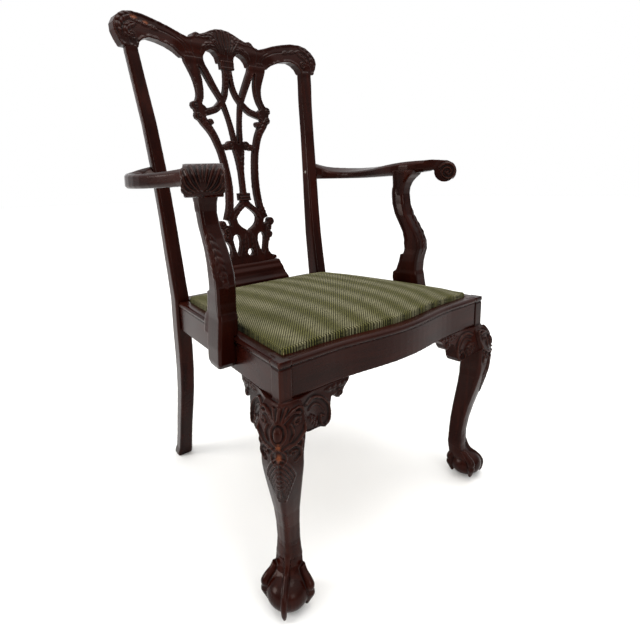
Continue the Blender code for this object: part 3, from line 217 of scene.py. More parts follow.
def groove(points, line, width, depth):
    """Gouged line, as a negative height."""
    return stroke(points, line, width, lambda _, off: -depth * np.clip(1 - 2 * off / width, 0, 1))


def leaf(points, line, width, height, lobes, lean=0.9, full=0.75):
    """Acanthus leaf on its midrib: lobes slant back from the rib, with a vein down the middle."""
    def shape(share, off):
        side = off / width
        half = 0.5 * np.sin(np.pi * np.clip(share, 0.03, 0.97) ** full) ** 0.6
        lobe = np.abs(np.sin(np.pi * (share * lobes - lean * side)))
        body = rounded(side / np.maximum(half * (0.66 + 0.34 * lobe), 1e-6))
        vein = 1 - 0.6 * swell(side, 0.0, 0.07)
        return height * body * (0.35 + 0.65 * lobe) * vein
    return stroke(points, line, width, shape)


def dome(points, centre, radii, height):
    """Rounded boss."""
    off = (points / MM - np.array(centre)) / np.array(radii)
    return height * MM * rounded(np.linalg.norm(off, axis=1))


def highest(*reliefs):
    return np.maximum.reduce(reliefs)


def over(carving, ground):
    """The carving where there is any, and the ground elsewhere."""
    return np.where(carving > 0.1 * MM, carving, ground)


def fade(value, low, high):
    """0 below low, 1 above high, smooth between."""
    t = np.clip((value - low) / (high - low), 0, 1)
    return t * t * (3 - 2 * t)


def swell(value, middle, width):
    """Soft bump, 1 at the middle."""
    return np.exp(-((value - middle) / width) ** 2)


def mirrored(values, side):
    """A left-hand piece's coordinates as if it stood on the right."""
    return values * np.array((side, 1.0, 1.0))


def arm_drop(side):
    return LEFT_DROP if side < 0 else 0.0


# --- Carving the CAD solids --------------------------------------------------------------------

def put(name, data):
    made = bpy.data.objects.new(name, data)
    bpy.context.scene.collection.objects.link(made)
    return made


def new_piece(name, mesh, finish, body=FRAME_BODY):
    mesh.materials.clear()
    mesh.materials.append(finish)
    piece = put(name, mesh)
    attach(piece, body)
    return piece


def evaluated(piece):
    bpy.context.view_layer.update()
    graph = bpy.context.evaluated_depsgraph_get()
    return bpy.data.meshes.new_from_object(piece.evaluated_get(graph))


def welded(node, rebuild=None):
    """A copy of a CAD node's mesh with its faces joined up, and rebuilt where asked."""
    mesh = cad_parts[node].data.copy()
    shape = bmesh.new()
    shape.from_mesh(mesh)
    bmesh.ops.remove_doubles(shape, verts=shape.verts, dist=0.01 * MM)
    if rebuild is not None:
        rebuild(shape)
    shape.to_mesh(mesh)
    shape.free()
    return mesh


def even(mesh, voxel, rounding=0):
    """The same shape as one even mesh, with its edges rounded in a few steps."""
    work = put("work", mesh)
    remesh = work.modifiers.new("even", "REMESH")
    remesh.mode = "VOXEL"
    remesh.voxel_size = voxel
    if rounding:
        soften = work.modifiers.new("rounding", "SMOOTH")
        soften.factor = 0.5
        soften.iterations = rounding
    made = evaluated(work)
    bpy.data.objects.remove(work)
    return made


def coordinates(mesh, kind="co"):
    values = np.empty(len(mesh.vertices) * 3, np.float32)
    mesh.vertices.foreach_get(kind, values)
    return values.reshape(-1, 3).astype(float)


def smooth(mesh):
    mesh.polygons.foreach_set("use_smooth", np.ones(len(mesh.polygons), bool))
    mesh.update()


def normals_of(mesh):
    return coordinates(mesh, "normal")


def set_coordinates(mesh, co):
    mesh.vertices.foreach_set("co", co.ravel())
    mesh.update()


def edges_of(mesh):
    ends = np.empty(len(mesh.edges) * 2, np.int64)
    mesh.edges.foreach_get("vertices", ends)
    return ends.reshape(-1, 2)


def blurred(values, ends, steps):
    """Values of the vertices, or their coordinates, averaged over neighbouring vertices."""
    if values.ndim > 1:
        return np.stack([blurred(column, ends, steps) for column in values.T], axis=1)
    count = len(values)
    degree = np.maximum(np.bincount(ends.ravel(), minlength=count), 1)
    for _ in range(steps):
        total = (np.bincount(ends[:, 0], values[ends[:, 1]], count)
                 + np.bincount(ends[:, 1], values[ends[:, 0]], count))
        values = 0.5 * values + 0.5 * total / degree
    return values


def mark(mesh, name, values):
    """Stores a number at each vertex, for the materials."""
    layer = mesh.attributes.new(name, "FLOAT", "POINT")
    layer.data.foreach_set("value", values.astype(np.float32))


def cut_level(shape, z, keep_above):
    """Saws a piece level at z and closes the cut."""
    everything = shape.verts[:] + shape.edges[:] + shape.faces[:]
    bmesh.ops.bisect_plane(shape, geom=everything, plane_co=(0, 0, z), plane_no=(0, 0, 1),
                           clear_inner=keep_above, clear_outer=not keep_above)
    bmesh.ops.holes_fill(shape, edges=[edge for edge in shape.edges if edge.is_boundary])


def skin(shape, rings):
    """Closed surface through rings of equal length."""
    made = [[shape.verts.new(Vector(spot)) for spot in ring] for ring in rings]
    for first, second in zip(made, made[1:]):
        for k in range(len(first)):
            n = (k + 1) % len(first)
            shape.faces.new((first[k], first[n], second[n], second[k]))
    shape.faces.new(made[0][::-1])
    shape.faces.new(made[-1])


def bar(shape, points, radii, side_way, sides=18):
    """Round bar through points of one plane; side_way stands square to that plane."""
    line = curve(points, 6)
    widths = np.interp(np.arange(len(line)) / 6, np.arange(len(radii)), radii)
    rings = []
    for index, (spot, width) in enumerate(zip(line, widths)):
        ahead = line[min(index + 1, len(line) - 1)] - line[max(index - 1, 0)]
        third = np.cross(side_way, ahead / np.linalg.norm(ahead))
        rings.append([spot + width * (math.cos(a) * side_way + math.sin(a) * third)
                      for a in np.arange(sides) * 2 * math.pi / sides])
    skin(shape, rings)


def carve(node, finish, voxel, relief=None, rounding=3, worn=(), bend=None, rebuild=None, soft=2,
          level=None):
    """Replaces a CAD node with the same solid, rounded, carved, marked for painted shade in its hollows and
    painted highlights on its proud edges, and marked for wear.

    bend moves the points first. Around a level the shape is smoothed. relief gives heights along
    the normals, blurred soft times. worn lists ellipsoids where the finish is rubbed through."""
    mesh = even(welded(node, rebuild), voxel * MM, rounding)
    ends = edges_of(mesh)
    if bend is not None:
        set_coordinates(mesh, bend(coordinates(mesh), normals_of(mesh)))
    co = coordinates(mesh)
    if level is not None:
        co = co + swell(co[:, 2:], level, 6 * MM) * (blurred(co, ends, 12) - co)
        set_coordinates(mesh, co)
    if relief is not None:
        normals = normals_of(mesh)
        co = co + normals * blurred(relief(co, normals, ends), ends, soft)[:, None]
        set_coordinates(mesh, co)
    # how far each point stands proud of its neighbours; the wood paints highlights on proud edges and shade
    # in hollows from it
    proud = ((co - blurred(co, ends, 5)) * normals_of(mesh)).sum(1) / (voxel * MM)
    mark(mesh, "proud", blurred(proud, ends, 1))
    spots = np.zeros(len(co))
    for place, radii in worn:
        away = np.linalg.norm((co - np.array(place)) / (np.array(radii) * MM), axis=1)
        spots = np.maximum(spots, np.clip(1.3 - away, 0, 1))
    mark(mesh, "worn", spots)
    smooth(mesh)
    piece = new_piece(node + "_wood", mesh, finish)
    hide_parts(node)


# --- Reliefs -------------------------------------------------------------------------------------

def front_sheet(co, normals):
    """A front face laid flat and folded onto its right half, and how much each point faces us."""
    return np.c_[np.abs(co[:, 0]), co[:, 2]], fade(-normals[:, 1], 0.25, 0.75)


def edge_distance(co, facing, ends):
    """How far each front point is from the face's outline, up to a limit."""
    limit = 12 * MM
    rim = co[(facing > 0.02) & (facing < 0.6)]
    tree = KDTree(len(rim))
    for index, (x, _, z) in enumerate(rim):
        tree.insert((x, 0.0, z), index)
    tree.balance()
    distance = np.full(len(co), limit)
    for index in np.flatnonzero(facing > 0.5):
        distance[index] = min(limit, tree.find((co[index, 0], 0.0, co[index, 2]))[2])
    return blurred(distance, ends, 5)


def crest_relief(co, normals, ends):
    """Shell and sprays in the middle, leafy ears with a row of husks, and flutes between them."""
    sheet, facing = front_sheet(co, normals)
    half, z = sheet.T
    inside = edge_distance(co, facing, ends)
    bead = 0.9 * MM * swell(inside, 3.0 * MM, 1.8 * MM)
    hollow = -1.0 * MM * fade(inside, 4 * MM, 8 * MM) * fade(half, 0.07, 0.10)
    flutes = sum(groove(sheet, line, 3.0, depth) for line, depth in (
        ([(100, 958), (116, 984), (150, 1000), (200, 1009)], 1.4),
        ([(93, 954), (100, 975), (112, 990), (126, 998)], 1.3),
        ([(82, 954), (90, 972), (93, 990), (90, 1004)], 1.3)))
    shell = [ridge(sheet, [(2 + 4 * k, 978), (4 + 10 * k, 1002), (3.5 + 12.5 * k, 1030 - 2.2 * k * k)],
                   3.2, 2.4, 5.4) for k in range(4)]
    stem = ridge(sheet, [(0, 950), (0, 985)], 9, 1.6)
    husks = [leaf(sheet, [(x, y), (x - 20, y - 6)], 10, 1.8, 3)
             for x, y in ((236, 1016), (214, 1012), (192, 1008))]
    leaves = [leaf(sheet, *drawn) for drawn in (
        ([(232, 1024), (252, 1015), (264, 998), (262, 978)], 20, 3.0, 5),
        ([(224, 1006), (240, 1000), (250, 988), (252, 972)], 15, 2.4, 4),
        ([(20, 1000), (36, 1013), (56, 1010), (72, 1006)], 17, 2.4, 5),
        ([(22, 990), (42, 994), (60, 984), (70, 968)], 13, 2.0, 4))]
    eye = (236, 978)
    volutes = (ridge(sheet, spiral(eye, 9, 2, 1.3, 60), 3.4, 2.6, 2), dome(sheet, eye, 2.4, 2.4),
               ridge(sheet, spiral((76, 1010), 5.5, 1.5, 1.1, 200), 2.6, 2.2))
    away = np.maximum(fade(z, CREST_JOINT + 3 * MM, CREST_JOINT + 16 * MM), fade(half, 0.13, 0.15))
    carving = highest(stem, *volutes, *leaves, *shell, *husks)
    return facing * over(carving, away * (bead + hollow) + flutes)


def crest_bend(co, _):
    """Eases the crest's face back to the splat and its ears back to the posts, at their joints."""
    low = fade(-co[:, 2], -0.992, -CREST_JOINT - 4 * MM)
    half = np.abs(co[:, 0])
    face = CREST_FACE_Y + CREST_SLOPE * (co[:, 2] - CREST_JOINT) - CREST_SWEEP * half ** 2
    ahead = 1 - fade(co[:, 1] - face, 8 * MM, 20 * MM)
    middle = 1 - fade(half, 0.125, 0.150)
    ears = fade(half, 0.200, 0.215)
    step = JOINT_STEP + CREST_SWEEP * half ** 2
    made = co.copy()
    made[:, 1] += low * (step * ahead * middle + 3 * MM * ears)
    made[:, 0] += 3.5 * MM * fade(co[:, 0], 0.200, 0.240)
    return made


def lapped(co, forward, start):
    """Brings the top of a splat or post forward from start, and laps it up into the crest."""
    made = co.copy()
    made[:, 1] -= forward * fade(co[:, 2], start, CREST_JOINT)
    made[:, 2] += 5 * MM * fade(co[:, 2], 0.945, 0.9525)
    return made


def splat_bend(co, _):
    return lapped(co, 6.7 * MM, 0.885)


def post_bend(side):
    """Laps a rear post into the ear of the crest, and widens the right one to its ear."""
    def bend(co, normals):
        made = lapped(co, 5.5 * MM, 0.870)
        if side > 0:
            made[:, 0] += 5 * MM * fade(co[:, 2], 0.78, 0.94) * fade(normals[:, 0], -0.2, 0.6)
        return made
    return bend


def splat_relief(co, normals, ends):
    """Volutes, leaves, collars and gadroons on a beaded and hollowed face."""
    sheet, facing = front_sheet(co, normals)
    inside = edge_distance(co, facing, ends)
    bead = 0.7 * MM * swell(inside, 1.9 * MM, 1.2 * MM)
    hollow = -0.9 * MM * fade(inside, 3.2 * MM, 5.5 * MM)
    volutes = [highest(ridge(sheet, spiral((x, z), size, 1.6, 1.25, start, way), 3.0, 2.0, 1.8),
                       dome(sheet, (x, z), 2.3, 2.2))
               for x, z, size, start, way in (
                   (102, 849, 8, 100, -1), (97, 825.5, 8, -100, 1),
                   (67.5, 813.5, 5.5, 200, 1), (22, 760, 8.5, 80, -1),
                   (35, 756, 6, 20, -1), (71, 573, 8, 90, -1),
                   (60, 558, 8.5, -90, 1), (63, 541, 7, 60, -1))]
    leaves = [leaf(sheet, line, width, 1.9, lobes) for line, width, lobes in (
        ([(92, 826), (80, 806), (66, 787), (56, 766)], 13, 6),
        ([(78, 836), (62, 839), (46, 846)], 12, 4),
        ([(56, 590), (49, 606), (43, 625)], 13, 4),
        ([(16, 748), (7, 730), (2, 705), (0, 680)], 12, 6),
        ([(40, 584), (22, 603), (6, 617)], 11, 4),
        ([(56, 556), (56, 530), (50, 505)], 13, 5),
        ([(10, 545), (12, 520), (16, 492)], 14, 5),
        ([(6, 935), (7, 912), (14, 886)], 9, 5))]
    collars = [ridge(sheet, [(0, z), (half, z)], 5, 2.4)
               for z, half in ((630.5, 14.5), (636, 12), (943.5, 16.5), (959, 16.5))]
    gadroons = [ridge(sheet, [(x, 945.5), (x * 1.12, 957)], 5.2, 2.0)
                for x in (0, 5.2, 10.4, 15.4)]
    away = 1 - fade(sheet[:, 1], CREST_JOINT - 16 * MM, CREST_JOINT - 3 * MM)
    return facing * over(highest(*volutes, *leaves, *collars, *gadroons), away * (bead + hollow))


def leg_bend(co, normals):
    """Fills the leg out a little between knee and foot."""
    more = 2.4 * MM * fade(co[:, 2], 0.060, 0.085) * fade(-co[:, 2], -0.285, -0.255)
    made = co + normals * more[:, None]
    made[:, 2] = np.maximum(made[:, 2], 0.0)
    return made


def claw_foot(side):
    """Saws the leg off at the ankle and adds a ball held by four knuckled talons."""
    def place(out, across, z):
        return mirrored(CORNER + LEG_DIAGONAL * out + LEG_ACROSS * across + (0, 0, z), side)

    def rebuild(shape):
        cut_level(shape, ANKLE, True)
        rings = []
        for z, out, back, half in ANKLE_RINGS:
            middle, depth = (out + back) / 2, (out - back) / 2
            ring = []
            for a in np.arange(24) * math.pi / 12:
                c, s = math.cos(a), math.sin(a)
                share = (1 - ANKLE_ROUND) / (abs(c) + abs(s)) + ANKLE_ROUND
                ring.append(place(middle + depth * c * share, half * s * share, z))
            rings.append(ring)
        skin(shape, rings)
        width, height = BALL
        middle = Matrix.Translation(place(BALL_OUT, 0.0, SOLE + height))
        bmesh.ops.create_uvsphere(shape, u_segments=36, v_segments=24, radius=1.0,
                                  matrix=middle @ Matrix.Diagonal((width, width, height, 1.0)))
        for way, talon in ((1, FRONT_TALON), (-1, TALON)):
            bar(shape, [place(BALL_OUT + way * reach, 0.0, z) for reach, z, _ in talon],
                [radius for *_, radius in talon], mirrored(LEG_ACROSS, side))
            bar(shape, [place(BALL_OUT - 0.016 * fade(z, 0.040, 0.070), way * reach, z)
                        for reach, z, _ in TALON],
                [radius for *_, radius in TALON], mirrored(LEG_DIAGONAL, side))
    return rebuild


def knee_carving(sheet):
    """Shell, cabochon, C scrolls, frilled edge and hanging leaf of the knee."""
    shell = [ridge(sheet, [(1.2 + 1.6 * k, 336), (1 + 4.8 * k, 344), (0.5 + 7.6 * k, 352.5 - 1.1 * k * k)],
                   2.0, 2.4, 4.0) for k in range(4)]
    frill = [ridge(sheet, [(32.5 - 0.4 * k * k, 340 - 8.5 * k), (37 - 0.6 * k * k, 336 - 9 * k),
                           (38.5 - 0.9 * k * k, 329 - 9.5 * k)], 2.4, 2.2, 1.2)
             for k in range(5)]
    lobes = [ridge(sheet, [(1.4, 286 - 8.5 * k), (7 - 0.6 * k, 279 - 8.5 * k), (13.5 - 1.4 * k, 266 - 8 * k),
                           (17.5 - 2.1 * k, 250 - 7.2 * k), (16 - 2 * k, 243 - 7 * k)], 2.6, 1.7, 1.6)
             for k in range(7)]
    oval = np.array([(9 * math.sin(a), 321.5 + 15 * math.cos(a))
                     for a in np.linspace(0, math.pi, 18)])
    scrolls = [ridge(sheet, *drawn) for drawn in (
        ([(12, 344), (22, 349), (31, 338), (30, 318), (22, 305),
          (11, 298)], 3.6, 3.0, 3),
        (spiral((21.5, 332), 5, 1.2, 1.2, 60), 2.4, 2.4, 1.6),
        ([(15, 330), (18, 318), (14, 307)], 2.6, 2.2, 1.4),
        ([(7, 299), (16, 302), (24, 294), (25, 281), (19, 273)], 3.0, 2.6, 2),
        (spiral((17, 288), 4.5, 1.2, 1.1, 10), 2.2, 2.2, 1.4),
        ([(2, 300), (8, 292), (9, 281), (4, 272)], 2.4, 2.2, 1.6),
        ([(0, 286), (0, 212)], 2.6, 2.4, 1.4),
        (oval, 3.0, 2.2))]
    return highest(dome(sheet, (0, 321.5), (5.5, 11.0), 2.8), *shell, *frill, *lobes, *scrolls)


def leg_relief(side):
    """The knee's carving, laid round the front arris, under the moulded lip of the rails."""
    def relief(co, normals, ends):
        z = co[:, 2]
        across = np.abs((mirrored(co, side) - CORNER) @ LEG_ACROSS) * KNEE_SPREAD
        facing = fade(mirrored(normals, side) @ LEG_DIAGONAL, 0.05, 0.45)
        ground = -0.6 * MM * fade(z, 0.255, 0.285)
        height = facing * KNEE_DEPTH * over(knee_carving(np.c_[across, z]), ground)
        height *= fade(-z, -0.358, -0.354) * fade(z, 0.15, 0.18)
        return height + rail_relief(co, normals, ends)
    return relief


def bracket_axes(along_x):
    """Which way a bracket runs from the corner, and which way its face looks."""
    if along_x:
        return np.array((-1.0, 0.0, 0.0)), np.array((0.0, -1.0, 0.0))
    return RAIL_ALONG, RAIL_OUTWARD


def bracket_bend(side, along_x):
    """Draws the bracket's inner end out to the knee, and ends it level with its volute."""
    way, out = bracket_axes(along_x)

    def bend(co, _):
        reach = (mirrored(co, side) - CORNER) @ way
        inner = (1 - fade(reach, 0.040, 0.072))[:, None]
        made = co + mirrored(inner * (7 * MM * out - 10 * MM * way), side)
        foot = VOLUTE_FOOT + VOLUTE_RISE * np.maximum(VOLUTE_REACH - reach, 0)
        made[:, 2] = np.maximum(made[:, 2], foot)
        return made
    return bend


def bracket_relief(side, along_x):
    """Volute and leaf of a knee bracket, drawn from the corner outwards."""
    way, out = bracket_axes(along_x)
    scale = 1.0 if along_x else 1 / 0.86  # the side brackets are shorter

    def relief(co, normals, _):
        sheet = np.c_[(mirrored(co, side) - CORNER) @ way * scale, co[:, 2]]
        facing = fade(mirrored(normals, side) @ out, 0.2, 0.7)
        eye = (125, 336.5)
        carving = highest(
            ridge(sheet, [(45, 344), (62, 349), (82, 342), (96, 325), (94, 304),
                          (82, 297), (73, 305), (77, 315), (84, 312)], 5.0, 4.2, 2.6),
            ridge(sheet, [(50, 334), (64, 338), (78, 331), (86, 319)], 2.6, 2.8, 1.6),
            leaf(sheet, [(46, 325), (56, 318), (62, 306), (58, 295)], 14, 3.0, 5),
            leaf(sheet, [(92, 350), (112, 350), (132, 350), (148, 354)], 11, 2.4, 5),
            ridge(sheet, spiral(eye, 7, 1.5, 1.2, 120, -1), 3.2, 3.0, 2),
            dome(sheet, eye, 2, 2.6))
        return facing * over(carving, -0.5 * MM)
    return relief


def arm_relief(side):
    """Spiral on both sides of the rolled end, and a fan of ribs over its front."""
    def relief(co, normals, _):
        local = mirrored(co, side) - ARM_SCROLL
        ahead = local @ ARM_FORWARD - 6.5 * MM
        sideways = np.abs(local @ ARM_AXIS)
        height = local[:, 2] + arm_drop(side)
        axial = np.abs(mirrored(normals, side) @ ARM_AXIS)
        cheek = np.c_[ahead, height]
        on_cheek = fade(axial, 0.6, 0.9) * fade(-np.hypot(ahead, height), -0.034, -0.026)
        eye = (0, -1)
        volute = highest(ridge(cheek, spiral(eye, 20, 3.5, 1.9, 150, -1, 60), 5.0, 2.4, 2.6),
                         dome(cheek, eye, 3.4, 2.6))
        around = (math.pi / 2 - np.arctan2(height, ahead)) * SCROLL_RADIUS
        around = np.where((ahead < 0) & (height > 0), ahead, around)
        on_roll = fade(-sideways, -SCROLL_HALF, -SCROLL_HALF + 2 * MM) * (1 - fade(axial, 0.4, 0.8))
        on_roll *= fade(ahead, -0.034, -0.022) * fade(-around, -0.066, -0.058)
        roll = np.c_[sideways, around]
        ribs = [ridge(roll, line, 2.8, 2.5, 5.0) for line in (
            [(1.2, 54), (4.5, 30), (7.5, 6), (10, -16)],
            [(3, 54), (9, 36), (14.5, 14), (18.5, -4)],
            [(6, 56), (14.5, 43), (21, 26), (25, 10)],
            [(11, 58), (19, 50), (25, 39), (28, 26)],
            [(16, 60), (22.5, 56), (27, 49), (29, 41)])]
        fan = highest(ridge(roll, [(0, 56), (0, -16)], 4.0, 2.4, 3), *ribs)
        fan *= fade(around, -0.018, 0.004)
        return on_cheek * np.where(volute > 0, volute, -1.2 * MM) + on_roll * over(fan, -0.8 * MM)
    return relief


def support_head(side):
    """Swaps the square cap of the CAD support for a head that flows forward under the arm."""
    drop = arm_drop(side)
    corner = 5 * MM

    def rebuild(shape):
        cut_level(shape, SUPPORT_CUT - drop, False)
        rings = []
        for z, front, rear, middle, thickness in SUPPORT_HEAD:
            half = thickness / 2
            section = ((front, half - corner), (front + corner, half), (rear - corner, half),
                       (rear, half - corner), (rear, corner - half), (rear - corner, -half),
                       (front + corner, -half), (front, corner - half))
            rings.append([(side * (middle + x), y, z - drop) for y, x in section])
        skin(shape, rings)
    return rebuild


def support_bend(side):
    """Deepens the support towards the back above the rail, and steps its foot out inside it."""
    deeper = 8 * MM if side > 0 else 3 * MM

    def bend(co, normals):
        z = co[:, 2]
        foot = 7 * MM * fade(-z, -0.4985, -0.4945) + 6 * MM * fade(-z, -0.4590, -0.4500)
        foot *= fade(z, RAIL_HIGH - 1 * MM, RAIL_HIGH + 1 * MM)
        made = co.copy()
        made[:, 1] += fade(normals[:, 1], 0.2, 0.7) * (deeper * fade(z, 0.50, 0.53) + foot)
        return made
    return bend


def support_relief(side):
    """Leaf carved over the front outer edge of an arm support, and beads along its edges."""
    def relief(co, normals, _):
        z = co[:, 2] + arm_drop(side) * fade(co[:, 2], 0.50, 0.60)
        levels, fronts, middles = SUPPORT_LINE.T
        from_front = co[:, 1] - np.interp(z, levels, fronts)
        from_edge = np.interp(z, levels, middles) + SUPPORT_HALF - side * co[:, 0]
        ahead = fade(-normals[:, 1], 0.35, 0.8)
        outward = fade(side * normals[:, 0], 0.35, 0.8)
        sheet = np.c_[np.where(ahead > outward, from_edge, -from_front), z]
        carving = highest(
            leaf(sheet, [(4, 606), (7, 570), (12, 530), (17, 497)],
                 22, 2.2, 8, lean=1.3, full=0.6),
            leaf(sheet, [(-3, 596), (-6, 560), (-7, 520)], 10, 1.6, 6))
        on_leaf = fade(z, 0.488, 0.500) * fade(-z, -0.612, -0.600) * np.maximum(ahead, outward)
        beads = swell(from_front, 3.0 * MM, 1.2 * MM) - swell(from_front, 5.6 * MM, 1.1 * MM)
        beads *= 0.8 * MM * outward * fade(z, 0.455, 0.47) * fade(-z, -0.66, -0.645)
        return np.where(carving > 0.1 * MM, carving * on_leaf, beads)
    return relief


def rail_relief(co, normals, _):
    """Moulded lip: a hollow line below the rail's top edge, with a small bead over it."""
    down = RAIL_HIGH - co[:, 2]
    upright = 1 - fade(np.abs(normals[:, 2]), 0.5, 0.8)
    outside = fade(np.abs(co[:, 0]) - 0.20, 0.0, 0.012) + fade(-co[:, 1] - 0.24, 0.0, 0.012)
    profile = 1.0 * MM * swell(down, 5 * MM, 3.2 * MM) - 2.0 * MM * swell(down, LIP_DEPTH, 1.3 * MM)
    return upright * np.clip(outside, 0, 1) * profile


# --- Materials ---------------------------------------------------------------------------------

def fill(tree, made, inputs):
    """Links or sets a node's sockets."""
    for key, value in inputs.items():
        if isinstance(value, bpy.types.NodeSocket):
            tree.links.new(value, made.inputs[key])
        else:
            made.inputs[key].default_value = value


def node(tree, kind, inputs=None, **settings):
    made = tree.nodes.new(kind)
    for key, value in settings.items():
        setattr(made, key, value)
    fill(tree, made, inputs or {})
    return made


def noise(tree, scale, detail=3.0, rough=0.55, distortion=0.0):
    """Noise by object coordinates; one scale for all ways, or one for each."""
    where = node(tree, "ShaderNodeTexCoord").outputs["Object"]
    if isinstance(scale, tuple):
        where, scale = node(tree, "ShaderNodeMapping", {"Vector": where, "Scale": scale}).outputs[0], 1.0
    return node(tree, "ShaderNodeTexNoise", {"Vector": where, "Scale": scale, "Detail": detail,
                                             "Roughness": rough, "Distortion": distortion}).outputs["Fac"]


def ramp(tree, value, *stops):
    made = node(tree, "ShaderNodeValToRGB", {"Fac": value})
    elements = made.color_ramp.elements
    while len(elements) < len(stops):
        elements.new(0.5)
    for element, (place, colour) in zip(elements, stops):
        element.position = place
        element.color = (*colour, 1.0)
    return made.outputs["Color"]


def mix(tree, share, first, second):
    made = node(tree, "ShaderNodeMix", data_type="RGBA")
    first, second = ((*colour, 1.0) if isinstance(colour, tuple) else colour for colour in (first, second))
    fill(tree, made, {0: share, 6: first, 7: second})
    return made.outputs[2]


def remap(tree, value, low, high, to_low=0.0, to_high=1.0):
    return node(tree, "ShaderNodeMapRange", {"Value": value, "From Min": low, "From Max": high,
                                             "To Min": to_low, "To Max": to_high}).outputs[0]


def maths(tree, way, *values):
    made = node(tree, "ShaderNodeMath", operation=way)
    fill(tree, made, dict(enumerate(values)))
    return made.outputs[0]


def check_of(tree, thread):
    """Woven check of +1 and -1 crossings in the plane of the seat, and its two coordinates."""
    where = node(tree, "ShaderNodeTexCoord").outputs["Object"]
    axes = node(tree, "ShaderNodeSeparateXYZ", {"Vector": where}).outputs
    waves = [maths(tree, "SINE", maths(tree, "MULTIPLY", axes[axis], math.pi / thread))
             for axis in ("X", "Y")]
    return maths(tree, "MULTIPLY", *waves), axes["X"]


def material(name, paint):
    """New material; paint(tree) gives the shader's inputs, and a bump's height, strength and depth."""
    made = bpy.data.materials.new(name)
    made.use_nodes = True
    tree = made.node_tree
    inputs, *bump = paint(tree)
    if bump:
        height, strength, distance = bump
        inputs["Normal"] = node(tree, "ShaderNodeBump", {"Height": height, "Strength": strength,
                                                         "Distance": distance * MM}).outputs[0]
    fill(tree, tree.nodes["Principled BSDF"], inputs)
    return made


GRAIN = {"upright": (38.0, 38.0, 2.6), "sideways": (2.6, 38.0, 38.0), "deep": (38.0, 2.6, 38.0)}


def mahogany(grain):
    """Dark polished mahogany: streaked figure, fine pores, dirt with painted shade in hollows, and rubbed
    high edges with painted highlights.
    """
    def paint(tree):
        figure = noise(tree, GRAIN[grain], 5.0, 0.6, 0.6)
        pores = noise(tree, tuple(9 * s for s in GRAIN[grain]), 3.0, 0.6)
        patches = noise(tree, 9.0, 2.0)
        proud, worn = (node(tree, "ShaderNodeAttribute", attribute_name=name).outputs["Fac"]
                       for name in ("proud", "worn"))
        # painted shade, partly dirt: hollows, where the surface lies below its neighbours, are darkened
        # towards near black
        recess_dirt_and_shade = remap(tree, proud, -0.04, -0.25, 0.0, 0.90)
        colour = ramp(tree, figure, (0.30, (0.0050, 0.0007, 0.0004)), (0.50, (0.0100, 0.0014, 0.0007)),
                      (0.72, (0.0220, 0.0032, 0.0014)))
        for share, other in (
                (remap(tree, patches, 0.45, 0.75, 0.0, 0.55), (0.0220, 0.0044, 0.0025)),
                (remap(tree, pores, 0.60, 0.72, 0.0, 0.60), (0.0030, 0.0013, 0.0012)),
                # painted highlight, partly rubbed wear: proud edges and ridges are made a paler red
                (remap(tree, proud, 0.12, 0.50, 0.0, 0.45), (0.0420, 0.0150, 0.0100)),
                # painted shade and dirt in the hollows
                (recess_dirt_and_shade, (0.0025, 0.0012, 0.0012)),
                (maths(tree, "MULTIPLY", worn, remap(tree, pores, 0.30, 0.55)), (0.1700, 0.0480, 0.0180))):
            colour = mix(tree, share, colour, other)
        rough = maths(tree, "ADD", remap(tree, patches, 0.3, 0.7, 0.20, 0.31),
                      maths(tree, "MULTIPLY", recess_dirt_and_shade, 0.22))
        height = maths(tree, "MULTIPLY", maths(tree, "SUBTRACT", figure, pores), 0.5)
        return {"Base Color": colour, "Roughness": rough, "Specular IOR Level": 0.07,
                "Specular Tint": (1.0, 0.76, 0.68, 1.0), "Coat Weight": 0.04,
                "Coat Roughness": 0.09}, height, 0.25, 0.3
    return material("mahogany_" + grain, paint)


def beech(tree):
    """Sawn beech, never polished."""
    figure = noise(tree, (6.0, 45.0, 45.0), 5.0, 0.65, 0.4)
    flecks = noise(tree, (60.0, 400.0, 400.0), 2.0)
    colour = ramp(tree, figure, (0.30, (0.20, 0.115, 0.055)), (0.55, (0.34, 0.215, 0.115)),
                  (0.75, (0.42, 0.28, 0.16)))
    colour = mix(tree, remap(tree, flecks, 0.58, 0.70, 0.0, 0.5), colour, (0.14, 0.080, 0.040))
    return {"Base Color": colour, "Roughness": remap(tree, figure, 0.3, 0.7, 0.58, 0.74)}, figure, 0.4, 0.5


def old_steel(tree):
    """Tarnished steel with fine turning marks."""
    turning = noise(tree, (900.0, 900.0, 900.0), 2.0)
    tarnish = noise(tree, (160.0, 160.0, 160.0), 4.0)
    colour = ramp(tree, tarnish, (0.35, (0.10, 0.085, 0.070)), (0.65, (0.36, 0.34, 0.31)))
    return {"Base Color": colour, "Roughness": remap(tree, tarnish, 0.3, 0.7, 0.55, 0.32),
            "Metallic": 1.0}, turning, 0.3, 0.1


